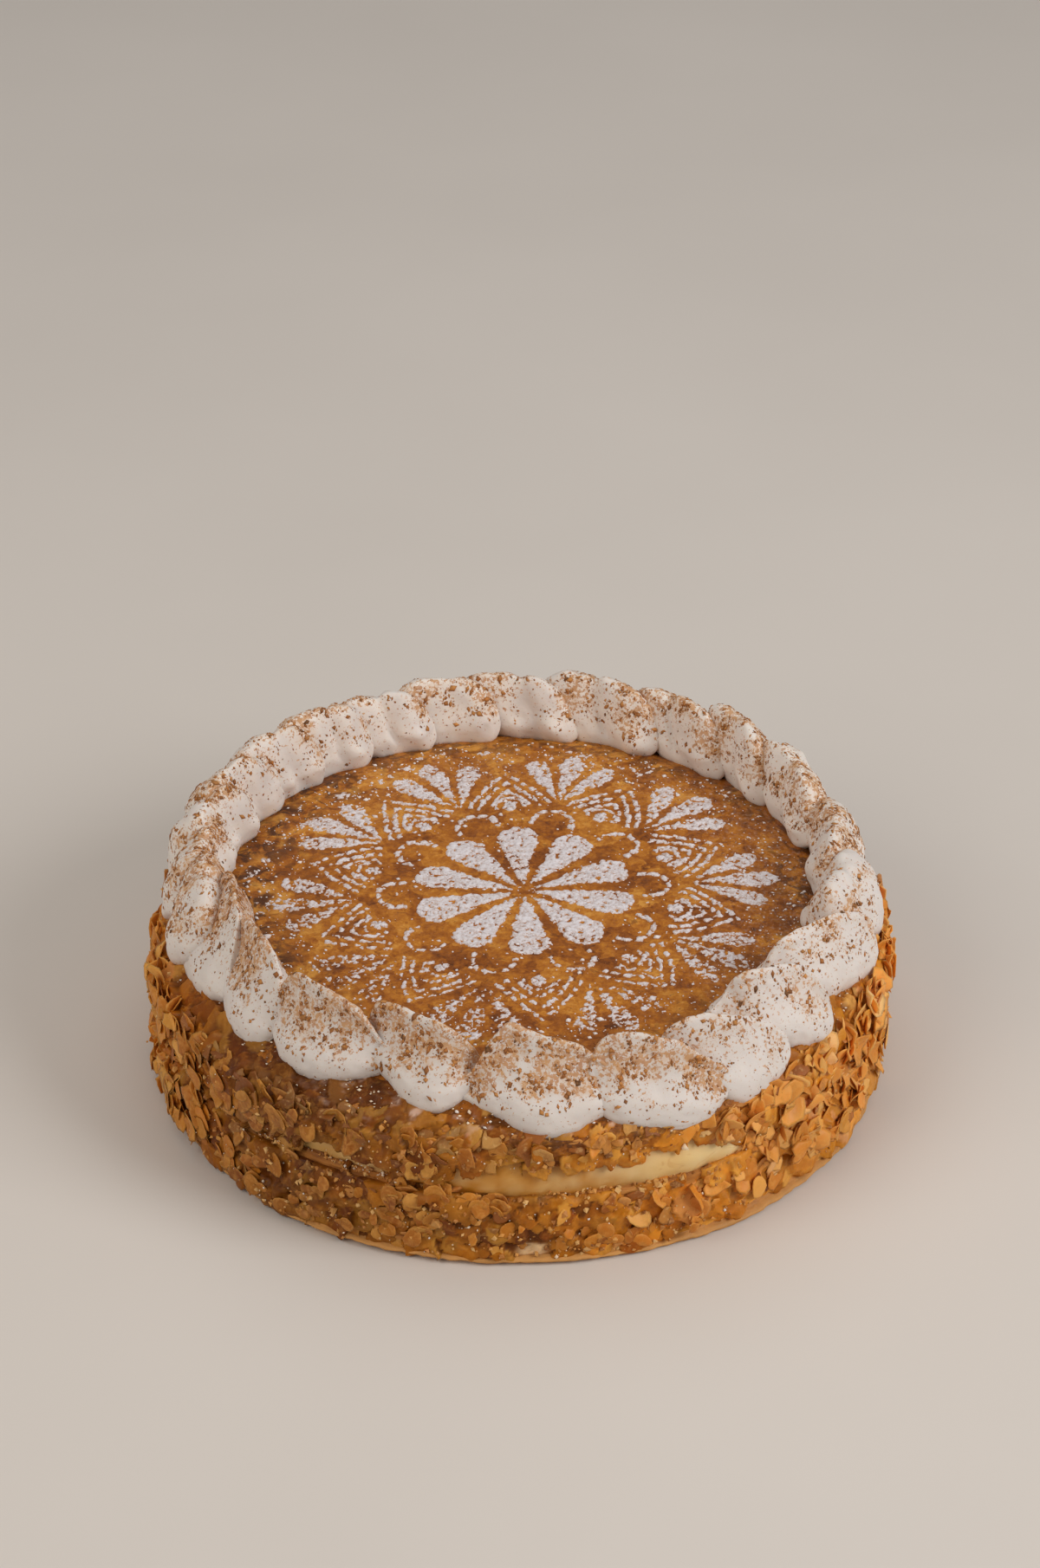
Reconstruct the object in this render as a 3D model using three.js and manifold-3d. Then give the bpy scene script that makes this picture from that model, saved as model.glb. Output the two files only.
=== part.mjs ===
// Round mille-feuille gateau: three puff-pastry discs with two custard layers between them,
// a caramelised top that droops towards its rim, and a border of piped cream dollops.
// Millimetres, +Z up. The origin is the centre of the flat underside; -Y is the front.
import * as THREE from "three";
import { mergeVertices } from "three/addons/utils/BufferGeometryUtils.js";
import Module from "manifold-3d";

// ---------------------------------------------------------------- sizes
const SIDES = 64; // facets round every layer, a multiple of four
const SEAM_R = 122; // radius at which a seam has its rim height
const GAP = 0.3; // clearance kept between touching pieces

// Seams between layers: height at the axis, height at the rim, size of the waviness at the rim.
const SEAM = {
  bottom: { axis: 7.0, rim: 6.4, wave: 0.7, phase: 0.4 },
  lower: { axis: 15.0, rim: 14.6, wave: 0.9, phase: 1.9 },
  middle: { axis: 28.0, rim: 27.4, wave: 1.1, phase: 3.1 },
  upper: { axis: 43.0, rim: 41.0, wave: 1.2, phase: 4.6 },
};

// Mean rim radius of each layer and how far its rim wanders in and out.
const RIM = {
  pastry_bottom: { r: 125.0, wander: 1.1, phase: 0.2 },
  custard_lower: { r: 119.6, wander: 0.8, phase: 1.1 },
  pastry_middle: { r: 122.6, wander: 1.3, phase: 2.3 },
  custard_upper: { r: 120.4, wander: 0.9, phase: 3.7 },
  pastry_top: { r: 122.0, wander: 1.2, phase: 5.0 },
};

const FOOT_R = 119; // the underside is flat out to here
const LIP_LIFT = 1.0; // beyond it the bottom disc's lip curls up
const CUSTARD_BULGE = 1.3; // custard swells between the discs

// Caramelised top: [radius, height], drooping from the plateau to the rim.
const TOP_PROFILE = [
  [121.9, 49.4],
  [119.0, 52.2],
  [114.0, 55.2],
  [107.5, 58.0],
  [98.0, 60.3],
  [76.0, 61.1],
  [44.0, 61.3],
];
const TOP_CENTRE = 61.3;
const TOP_RIPPLE = 0.35; // gentle unevenness of the plateau

// Piped border: head angle of each dollop, counter-clockwise from +X, starting at the front left.
const HEAD_DEG = [
  206, 221.5, 238.7, 255.2, 275.5, 295, 308, 322, 340, 355, 12.5, 30.7, 43, 58.6,
  76, 90.7, 104, 117, 131, 141.3, 154.3, 164, 175.7, 190,
];
// The ones at the front have a sloping face between a crisp ridge, [degrees, radius, height]
// from the tail to the nose, and a foot line, [degrees, radius].
const LOFT = [
  {
    ridge: [
      [183, 103, 66], [188.3, 99.8, 79], [197.6, 100.6, 82], [203.1, 102.2, 80.6],
      [207.2, 106.2, 75.5], [209.4, 110, 68.5], [210.4, 112, 62],
    ],
    foot: [
      [183, 106.5], [188, 113], [193.3, 117], [198, 117.9], [203.6, 117.3], [207.4, 115.4],
      [210.4, 112.6],
    ],
  },
  {
    ridge: [
      [202, 103.5, 66], [204.4, 101, 79], [208.4, 100.7, 81.6], [213.7, 101.8, 82],
      [217.9, 102.8, 80.6], [221, 104, 77], [223.2, 106.6, 71], [224.6, 108.8, 63],
    ],
    foot: [
      [202, 105], [206, 108.5], [211.5, 114.2], [217.1, 117.5], [220.1, 117.3],
      [222.6, 115.4], [224.6, 110.4],
    ],
  },
  {
    ridge: [
      [223, 107.5, 66], [225.3, 106.6, 80], [227.4, 105.8, 82.4], [231.1, 106.2, 82.6],
      [235.7, 106.6, 82], [238.5, 106.8, 81.2], [241, 107.4, 79.8], [243.2, 107.7, 76.6],
      [244.9, 107.3, 72], [246.4, 106.8, 66.5],
    ],
    foot: [
      [223, 109], [224.5, 111.6], [226.7, 114.4], [229, 116.2], [231.2, 117],
      [233.8, 116.9], [236.8, 115.9], [239.6, 114.2], [242.2, 111.6], [244.6, 109],
      [246.4, 107.2],
    ],
  },
  {
    ridge: [
      [241.8, 104, 68], [243.4, 102.6, 80], [244.6, 103.4, 82.3], [246.5, 103.7, 82.6],
      [252.5, 104.8, 82], [258.5, 107, 79.4], [261.2, 107, 75.4], [262.8, 106, 70.5],
      [264.2, 105.8, 66],
    ],
    foot: [
      [241.8, 105], [244.3, 107], [247.3, 109.6], [249.3, 112.8], [252, 116], [256, 116.9],
      [258.9, 114.4], [261.4, 110.6], [264.2, 106.4],
    ],
  },
  {
    ridge: [
      [259.2, 110.5, 60.5], [261.8, 110, 66], [264.5, 108.7, 75.5], [266.4, 107.3, 80.6],
      [268.3, 106.6, 83], [272.7, 108.5, 80.6], [279, 110.8, 77.8], [282.4, 112.8, 73.4],
      [284.8, 114, 68.5], [286.2, 114.4, 64],
    ],
    foot: [
      [259.2, 111], [260.6, 112], [263.7, 114.3], [266.9, 116.8], [270, 119.8],
      [271.9, 121], [273.8, 121.5], [278.3, 120.7], [281.2, 118.8], [284, 116.6],
      [286.2, 114.8],
    ],
  },
  {
    ridge: [
      [281.2, 114, 66], [283.8, 111.8, 79], [286, 113, 81.2], [289.3, 114.5, 80.2],
      [295.4, 116.8, 75.8], [299.4, 118.8, 69], [302, 120, 64], [303.6, 120.8, 60],
    ],
    foot: [
      [281.2, 115.5], [282.6, 117.2], [286.4, 120.4], [291.2, 122.8], [295.7, 124.1],
      [299.2, 123.7], [302, 122.2], [303.6, 121.2],
    ],
  },
  {
    ridge: [
      [294, 108, 66], [297.9, 110, 77.6], [301.8, 111.5, 78.6], [305.8, 114.2, 76.2],
      [310.8, 115.6, 72.6], [313.8, 117.3, 68], [315.4, 119, 64], [316.6, 120, 60],
    ],
    foot: [
      [294, 112], [298, 116.5], [301.8, 120.1], [304.5, 122.7], [306.8, 123.5],
      [309.4, 123.5], [311.8, 123.1], [314.2, 122.2], [316.6, 120.4],
    ],
  },
  {
    ridge: [
      [307.8, 99.5, 64.5], [312.1, 100.4, 73.4], [313.6, 102.2, 78.2],
      [316.1, 104.4, 79.8], [320.1, 107.6, 78.8], [323.8, 111, 77.4], [326.2, 114.6, 73],
      [327.2, 118, 67.5], [327.8, 120.6, 61.5],
    ],
    foot: [
      [307.8, 100.5], [312, 108], [316, 114.5], [319.4, 118], [321.6, 120.1],
      [324.4, 121.4], [326.6, 121.9], [327.8, 121],
    ],
  },
  {
    ridge: [
      [324, 99, 64.5], [327.1, 99.6, 74.5], [328.9, 101.4, 78.2], [333.1, 104, 78.8],
      [336.7, 107, 78.6], [341.9, 112.4, 77], [345.6, 117.8, 73], [347, 121, 68.5],
      [347.6, 122.4, 63.5],
    ],
    foot: [
      [324, 100], [328, 106], [331, 112.5], [333.4, 115.4], [337, 117.8], [340, 119.6],
      [343, 120.8], [345.8, 122.2], [347.6, 122.8],
    ],
  },
];
const LOFT_ROUND = 10; // facets round one of them
const LOFT_LONG = 11; // and along it
const LOFT_GAP = 0.6; // clearance cut round it

// The others are plain swept drops.
const OUT = [
  0, 0, 0, 0, 0, 0, 0, 0, 0, 0, 0.2, -0.4, 0.3, 0, -0.3, 0.4, 0, -0.4, 0.3, -0.2,
  0.2, -0.6, -1.4, -3.2,
]; // how far each lies outside the usual circle
const CREST_R = 110.5; // radius along which the dollops are set out
const HEAD_R = 112.6; // centre line of a dollop at its head
const TAIL_R = 108.0; // and where its tail has been pulled inwards
const HEAD_REACH = 15.5; // from the head angle counter-clockwise to the rounded end
const TAIL_LEAST = 16.0; // from the head angle clockwise to the tail's tip, at least
const TAIL_SHORT = 7.0; // otherwise the distance to the next head less this
const HALF_WIDTH = 13.4;
const HALF_HEIGHT = 13.2;
const TAIL_SHARE = 0.78; // thickness left at the tail
const SINK = 0.1; // share of the half height flattened against the pastry
const UNEVEN = 0.07; // dollops differ in size by about this share
const SEAT = 0.6; // clearance of a dollop's flattened underside above the top
// Those at the back stand taller, lean and are narrower inwards: [head angle, share of that].
const FAR = [[0, 0], [20, 0.6], [40, 1], [150, 1], [172, 0.6], [186, 0]];
const FAR_TALLER = 0.16;
const FAR_LEAN = 0.34;
const FAR_NARROWER = 0.25;
const BLOB_ROUND = 12; // facets round a dollop
const BLOB_LONG = 8; // and along it

// ---------------------------------------------------------------- materials
const material = (color, roughness) =>
  new THREE.MeshStandardMaterial({ color, roughness, metalness: 0 });
const PASTRY = material(0xb87435, 0.65);
const CARAMEL = material(0x9e5a22, 0.45);
const CUSTARD = material(0xe2bf7d, 0.5);
const CREAM = material(0xeee2d3, 0.55);

// ---------------------------------------------------------------- shared forms
const TAU = Math.PI * 2;
const rad = (deg) => (deg * Math.PI) / 180;
const mix = (a, b, t) => a + (b - a) * t;

// A repeatable number from -1 to 1 for dollop i.
const uneven = (i, k) => {
  const v = Math.sin(i * 12.9898 + k * 78.233) * 43758.5453;
  return 2 * (v - Math.floor(v)) - 1;
};

// Slow waviness round a rim.
const wave = (angle, phase) =>
  0.5 * Math.sin(3 * angle + phase) +
  0.3 * Math.sin(5 * angle - 2.1 * phase) +
  0.2 * Math.sin(11 * angle + 3.7 * phase);

// A seam rises or falls evenly along each radius, so the faces on its two sides follow each other.
const seamZ = (seam, r, angle) =>
  seam.axis +
  ((seam.rim - seam.axis + seam.wave * wave(angle, seam.phase)) * r) / SEAM_R;

const rimR = (rim, angle) => rim.r + rim.wander * wave(angle, rim.phase);

// Height of the caramelised top at a radius, without its ripple.
function topZ(r) {
  const rows = [...TOP_PROFILE, [0, TOP_CENTRE]];
  if (r >= rows[0][0]) return rows[0][1];
  for (let k = 0; k + 1 < rows.length; k++) {
    const [ra, za] = rows[k],
      [rb, zb] = rows[k + 1];
    if (r >= rb) return mix(za, zb, (ra - r) / (ra - rb));
  }
  return TOP_CENTRE;
}

const ripple = (r, angle) =>
  TOP_RIPPLE *
  Math.min(1, r / 40) *
  (Math.sin(4 * angle + r * 0.05) + 0.6 * Math.sin(7 * angle - r * 0.09 + 1.3));

// A turned disc whose rows are then placed by place(row, angle) -> [radius, height].
function disc(rowCount, place) {
  const profile = [];
  for (let k = 0; k < rowCount; k++)
    profile.push(new THREE.Vector2(k === 0 || k === rowCount - 1 ? 0 : 1, k));
  const g = new THREE.LatheGeometry(profile, SIDES);
  g.rotateX(Math.PI / 2); // the lathe's Y axis becomes +Z
  const p = g.getAttribute("position");
  for (let k = 0; k < p.count; k++) {
    const row = Math.round(p.getZ(k));
    const step = Math.round((Math.atan2(p.getY(k), p.getX(k)) / TAU) * SIDES);
    const angle = (((step % SIDES) + SIDES) % SIDES) * (TAU / SIDES);
    const [r, z] = place(row, angle);
    p.setXYZ(k, r * Math.cos(angle), r * Math.sin(angle), z);
  }
  return welded(g);
}

function welded(g) {
  g.deleteAttribute("normal");
  g.deleteAttribute("uv");
  return mergeVertices(g, 1e-4);
}

// ---------------------------------------------------------------- layers
// A disc between two seams with a softly rounded side that swells by bulge half-way up.
function layer(rim, under, over, bulge, edge) {
  return disc(6, (row, angle) => {
    const r = rimR(rim, angle);
    const low = (at) =>
      under === null ? 0 : seamZ(under, at, angle) + GAP / 2;
    const high = (at) => seamZ(over, at, angle) - GAP / 2;
    if (row === 0) return [0, low(0)];
    if (row === 1) return [r - edge, low(r - edge)];
    if (row === 2) return [r + bulge, mix(low(r), high(r), 0.34)];
    if (row === 3) return [r + bulge * 0.8, mix(low(r), high(r), 0.7)];
    if (row === 4) return [r - edge, high(r - edge)];
    return [0, high(0)];
  });
}

// The bottom disc lies flat and its thin lip curls up off the surface.
const bottomDisc = disc(7, (row, angle) => {
  const r = rimR(RIM.pastry_bottom, angle);
  const high = (at) => seamZ(SEAM.bottom, at, angle) - GAP / 2;
  const lift = LIP_LIFT * (0.75 + 0.25 * wave(angle, 2.7));
  if (row === 0) return [0, 0];
  if (row === 1) return [FOOT_R, 0];
  if (row === 2) return [r - 1.2, lift];
  if (row === 3) return [r, mix(lift, high(r), 0.45)];
  if (row === 4) return [r - 0.9, mix(lift, high(r), 0.85)];
  if (row === 5) return [r - 2.6, high(r - 2.6)];
  return [0, high(0)];
});

// The top disc: flaky side, drooping shoulder, gently uneven caramelised plateau.
const shoulderRows = TOP_PROFILE.length;
const topDisc = disc(4 + shoulderRows, (row, angle) => {
  const r = rimR(RIM.pastry_top, angle);
  const low = (at) => seamZ(SEAM.upper, at, angle) + GAP / 2;
  if (row === 0) return [0, low(0)];
  if (row === 1) return [r - 2.2, low(r - 2.2)];
  if (row === 2) return [r + 0.6, low(r) + 3.4];
  if (row < 3 + shoulderRows) {
    const [at, z] = TOP_PROFILE[row - 3];
    const share = at > 98 ? (at - 98) / (TOP_PROFILE[0][0] - 98) : 0;
    const pushed = at + share * (r - RIM.pastry_top.r);
    return [pushed, z + (1 - share) * ripple(at, angle) - 0.4];
  }
  return [0, TOP_CENTRE - 0.4];
});

// ---------------------------------------------------------------- piped border
// One dollop: a rounded head swept clockwise and inwards to a thinner tail, flattened where it lies on the top.
function drop(i, grow) {
  const size = 1 + UNEVEN * uneven(i, 1);
  const gap = ((HEAD_DEG[i] - HEAD_DEG[i - 1] + 360) % 360) * rad(1) * CREST_R;
  const tail = Math.max(TAIL_LEAST, gap - TAIL_SHORT);
  const far = along(FAR, ((HEAD_DEG[i] % 360) + 360) % 360);
  const g = new THREE.SphereGeometry(1, BLOB_ROUND, BLOB_LONG);
  const p = g.getAttribute("position");
  for (let k = 0; k < p.count; k++) {
    const x = p.getX(k),
      y = p.getY(k),
      z = p.getZ(k);
    const t = (1 - y) / 2; // 0 at the head's end, 1 at the tail's tip
    const thick = mix(1, TAIL_SHARE, t * t);
    const half = HALF_HEIGHT * size * thick * (1 + FAR_TALLER * far);
    const reach = mix(HEAD_REACH + grow, -tail - grow, t) + FAR_LEAN * far * z * half;
    const angle = rad(HEAD_DEG[i]) + reach / CREST_R;
    const swept = t * t * (3 - 2 * t);
    const mid = mix(HEAD_R + OUT[i], TAIL_R, swept) + far;
    const wide = HALF_WIDTH * size * thick * (x < 0 ? 1 - FAR_NARROWER * far : 1);
    const r = mid + x * (wide + grow);
    const height = topZ(mid) + half * (1 - SINK) + z * (half + grow);
    p.setXYZ(
      k,
      r * Math.cos(angle),
      r * Math.sin(angle),
      Math.max(height, topZ(r) + SEAT - (grow > 0 ? 3 : 0)),
    );
  }
  return welded(g);
}

// Straight lines through [x, y] points.
function along(points, x) {
  let k = 0;
  while (k + 2 < points.length && x > points[k + 1][0]) k++;
  const [xa, ya] = points[k],
    [xb, yb] = points[k + 1];
  return mix(ya, yb, Math.min(1, Math.max(0, (x - xa) / (xb - xa))));
}

const rounded = (share, power) =>
  Math.pow(1 - Math.pow(Math.max(0, 1 - share), power), 1 / power);

// One dollop at the front: sections in planes through the axis, from the tail to the nose.
function lofted(i, grow) {
  const { ridge, foot } = LOFT[i];
  const lo = ridge[0][0],
    hi = ridge[ridge.length - 1][0];
  const turn = (deg) => Math.acos(1 - (2 * (deg - lo)) / (hi - lo)) / Math.PI;
  const ridgeR = ridge.map((q) => [turn(q[0]), q[1]]);
  const ridgeZ = ridge.map((q) => [turn(q[0]), q[2]]);
  const footR = foot.map((q) => [turn(q[0]), q[1]]);
  const faced = along(
    [[0, 0.55], [1, 0.6], [2, 1], [3, 1], [4, 0.95], [5, 0.9], [6, 0.6], [8, 0.4]],
    i,
  );
  const g = new THREE.SphereGeometry(1, LOFT_ROUND, LOFT_LONG);
  const p = g.getAttribute("position");
  for (let row = 0; row <= LOFT_LONG; row++) {
    const v = row / LOFT_LONG;
    const tip = row === 0 || row === LOFT_LONG;
    const deg = lo + (hi - lo) * (0.5 - 0.5 * Math.cos(Math.PI * v));
    const open = rounded(v / 0.22, 2.2) * rounded((1 - v) / 0.3, 2.2);
    const level = mix(ridge[0][2], ridge[ridge.length - 1][2], v);
    const fr = along(footR, v);
    const fz = mix(
      level,
      topZ(fr) - 0.5,
      rounded(v / 0.14, 2) * rounded((1 - v) / 0.24, 2),
    );
    const rr = along(ridgeR, v),
      rz = along(ridgeZ, v);
    const ir = rr - 7.4 * open;
    const iz = mix(level, topZ(ir) - 0.5, open);
    const outer = new THREE.Vector2(rr - fr, rz - fz),
      inner = new THREE.Vector2(rr - ir, rz - iz);
    const size = Math.min(1, outer.length() / 26);
    const face = (share, off) => [
      fr + outer.x * share + (outer.y / (outer.length() + 1e-6)) * off * size,
      fz + outer.y * share - (outer.x / (outer.length() + 1e-6)) * off * size,
    ];
    const back = (share, off) => [
      ir + inner.x * share - (inner.y / (inner.length() + 1e-6)) * off * size,
      iz + inner.y * share + (inner.x / (inner.length() + 1e-6)) * off * size,
    ];
    const section = [
      [fr - 1.4 * size, fz - 0.9 * size],
      face(0.14, 2.5),
      face(0.44, mix(3.1, 0.9, faced)),
      face(0.83, mix(1.8, -0.5, faced)),
      [rr + 0.7 * size, rz - 0.8 * size],
      [rr - 0.9 * size, rz - 0.1 * size],
      back(0.42, 1.9),
      back(0.14, 1.6),
      [ir + 0.8 * size, iz - 0.9 * size],
      [(fr + ir) / 2, (fz + iz) / 2 - 1.2 * size],
    ];
    const cr = section.reduce((sum, q) => sum + q[0], 0) / LOFT_ROUND,
      cz = section.reduce((sum, q) => sum + q[1], 0) / LOFT_ROUND;
    for (let col = 0; col <= LOFT_ROUND; col++) {
      let [r, z] = tip ? [cr, cz] : section[col % LOFT_ROUND];
      const far = Math.hypot(r - cr, z - cz);
      if (grow > 0 && far > 0) {
        r += ((r - cr) / far) * grow;
        z += ((z - cz) / far) * grow;
      }
      z = Math.max(z, topZ(r) + SEAT - (grow > 0 ? 3 : 0));
      const angle =
        rad(deg) + (tip ? ((row === 0 ? -1 : 1) * grow) / CREST_R : 0);
      p.setXYZ(
        row * (LOFT_ROUND + 1) + col,
        r * Math.cos(angle),
        r * Math.sin(angle),
        z,
      );
    }
  }
  return facingOut(welded(g));
}

// Turns the faces of a closed shape outwards.
function facingOut(g) {
  const p = g.getAttribute("position"),
    ids = g.index.array;
  const [a, b, c] = [0, 1, 2].map(() => new THREE.Vector3());
  let volume = 0;
  for (let k = 0; k < ids.length; k += 3) {
    a.fromBufferAttribute(p, ids[k]);
    b.fromBufferAttribute(p, ids[k + 1]);
    c.fromBufferAttribute(p, ids[k + 2]);
    volume += a.dot(b.cross(c));
  }
  if (volume < 0)
    for (let k = 0; k < ids.length; k += 3)
      [ids[k], ids[k + 1]] = [ids[k + 1], ids[k]];
  return g;
}

const dollop = (i, grow) => (i < LOFT.length ? lofted(i, grow) : drop(i, grow));

const wasm = await Module();
wasm.setup();

const solid = (g) =>
  new wasm.Manifold(
    new wasm.Mesh({
      numProp: 3,
      vertProperties: new Float32Array(g.getAttribute("position").array),
      triVerts: new Uint32Array(g.index.array),
    }),
  );

function geometryOf(manifold) {
  const m = manifold.getMesh();
  return new THREE.BufferGeometry()
    .setAttribute(
      "position",
      new THREE.BufferAttribute(new Float32Array(m.vertProperties), 3),
    )
    .setIndex(new THREE.BufferAttribute(new Uint32Array(m.triVerts), 1));
}

// Each dollop's tail is covered by the head of its clockwise neighbour, so that shape is cut out of it.
function pressedDollop(i) {
  const before = (i + HEAD_DEG.length - 1) % HEAD_DEG.length;
  const clear = before < LOFT.length ? LOFT_GAP : GAP;
  const cut = solid(dollop(i, 0)).subtract(solid(dollop(before, clear)));
  const bodies = cut.decompose().sort((a, b) => b.volume() - a.volume());
  return geometryOf(bodies[0]);
}

// ---------------------------------------------------------------- assembly
const gateau = new THREE.Group();
const put = (name, geometry, look) => {
  geometry.computeVertexNormals();
  const mesh = new THREE.Mesh(geometry, look);
  mesh.name = name;
  gateau.add(mesh);
};

put("pastry_bottom", bottomDisc, PASTRY);
put(
  "custard_lower",
  layer(RIM.custard_lower, SEAM.bottom, SEAM.lower, CUSTARD_BULGE, 1.0),
  CUSTARD,
);
put(
  "pastry_middle",
  layer(RIM.pastry_middle, SEAM.lower, SEAM.middle, 0.8, 2.0),
  PASTRY,
);
put(
  "custard_upper",
  layer(RIM.custard_upper, SEAM.middle, SEAM.upper, CUSTARD_BULGE, 1.0),
  CUSTARD,
);
put("pastry_top", topDisc, CARAMEL);
HEAD_DEG.forEach((_, i) =>
  put("cream_" + String(i + 1).padStart(2, "0"), pressedDollop(i), CREAM),
);

export default gateau;
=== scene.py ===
"""Looks of a round mille-feuille gateau: flaky pastry discs, custard, caramelised top with a
sugar stencil, piped cream dollops with cocoa, and a coat of almond and pastry flakes.
Numbers are millimetres until a mesh is written; -Y is the front."""

import math

import bpy
import numpy as np
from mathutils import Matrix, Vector
from mathutils.bvhtree import BVHTree


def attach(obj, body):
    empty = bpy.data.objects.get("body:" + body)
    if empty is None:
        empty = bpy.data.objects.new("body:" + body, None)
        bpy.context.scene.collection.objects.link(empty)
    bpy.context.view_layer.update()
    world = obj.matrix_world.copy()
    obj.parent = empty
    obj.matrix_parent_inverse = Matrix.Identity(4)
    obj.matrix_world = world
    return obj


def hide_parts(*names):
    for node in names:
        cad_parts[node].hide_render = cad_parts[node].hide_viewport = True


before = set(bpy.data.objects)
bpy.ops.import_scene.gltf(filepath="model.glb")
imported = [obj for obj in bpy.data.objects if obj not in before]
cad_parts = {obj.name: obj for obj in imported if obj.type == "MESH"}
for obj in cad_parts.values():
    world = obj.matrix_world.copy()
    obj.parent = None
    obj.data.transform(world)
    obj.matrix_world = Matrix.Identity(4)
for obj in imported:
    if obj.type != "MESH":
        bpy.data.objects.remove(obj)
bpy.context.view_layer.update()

MM = 0.001
TAU = 2 * math.pi
rng = np.random.default_rng(20417)


# ------------------------------------------------------------------ noise
class Noise:
    """Seeded gradient noise over 3-D points, about -1 to 1."""

    def __init__(self, seed):
        r = np.random.default_rng(seed)
        self.p = np.tile(r.permutation(256), 3)
        g = r.normal(size=(256, 3))
        self.g = g / np.linalg.norm(g, axis=1)[:, None]

    def at(self, q):
        q = np.asarray(q, float)
        i = np.floor(q).astype(int)
        f = q - i
        i &= 255
        w = f * f * f * (f * (f * 6 - 15) + 10)
        out = 0.0
        for dx in (0, 1):
            for dy in (0, 1):
                for dz in (0, 1):
                    h = self.p[
                        self.p[self.p[(i[..., 0] + dx) & 255] + ((i[..., 1] + dy) & 255)]
                        + ((i[..., 2] + dz) & 255)
                    ]
                    g = self.g[h]
                    d = (
                        g[..., 0] * (f[..., 0] - dx)
                        + g[..., 1] * (f[..., 1] - dy)
                        + g[..., 2] * (f[..., 2] - dz)
                    )
                    k = (
                        (w[..., 0] if dx else 1 - w[..., 0])
                        * (w[..., 1] if dy else 1 - w[..., 1])
                        * (w[..., 2] if dz else 1 - w[..., 2])
                    )
                    out = out + d * k
        return out * 1.6

    def fbm(self, q, octaves=4, gain=0.5):
        q = np.asarray(q, float)
        out, a, t = 0.0, 1.0, 0.0
        for k in range(octaves):
            out = out + a * self.at(q * 2.0**k + 17.3 * k)
            t += a
            a *= gain
        return out / t


N1, N2, N3, N4, N5 = (Noise(s) for s in (11, 23, 37, 51, 73))


def xyz(x, y, z=0.0):
    x, y, z = np.broadcast_arrays(
        np.asarray(x, float), np.asarray(y, float), np.asarray(z, float)
    )
    return np.stack([x, y, z], -1)


def smooth(a, b, v):
    t = np.clip((np.asarray(v, float) - a) / (b - a), 0, 1)
    return t * t * (3 - 2 * t)


def mix(a, b, t):
    return a + (b - a) * t


def arc(deg, lo, hi, soft):
    """1 between two angles (degrees, counter-clockwise), fading over soft."""
    d = (np.degrees(deg) - lo) % 360
    width = (hi - lo) % 360
    d = np.where(d > 180 + width / 2, d - 360, d)
    return smooth(-soft, soft, d) * (1 - smooth(width - soft, width + soft, d))


# ------------------------------------------------------------------ sizes shared with the solids
SEAM_R = 122.0
SEAM = {
    "bottom": (7.0, 6.4, 0.7, 0.4),
    "lower": (15.0, 14.6, 0.9, 1.9),
    "middle": (28.0, 27.4, 1.1, 3.1),
    "upper": (43.0, 41.0, 1.2, 4.6),
}
RIM = {
    "pastry_bottom": (125.0, 1.1, 0.2),
    "custard_lower": (119.6, 0.8, 1.1),
    "pastry_middle": (122.6, 1.3, 2.3),
    "custard_upper": (120.4, 0.9, 3.7),
    "pastry_top": (122.0, 1.2, 5.0),
}
TOP_PROFILE = (
    (121.9, 49.4),
    (119.0, 52.2),
    (114.0, 55.2),
    (107.5, 58.0),
    (98.0, 60.3),
    (76.0, 61.1),
    (44.0, 61.3),
    (0.0, 61.3),
)
HEAD_DEG = (
    206, 221.5, 238.7, 255.2, 275.5, 295, 308, 322, 340, 355, 12.5, 30.7, 43, 58.6, 76, 90.7,
    104, 117, 131, 141.3, 154.3, 164, 175.7, 190,
)
# How far each dollop's nose lies outside the usual circle.
OUT = (
    -4.6, -5.4, -6.6, -6.4, -1.2, 0.8, 1.8, 0.4, -1.6, 0.0, 0.2, -0.4, 0.3, 0.0, -0.3, 0.4,
    0.0, -0.4, 0.3, -0.2, 0.2, -0.6, -1.4, -3.2,
)
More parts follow.
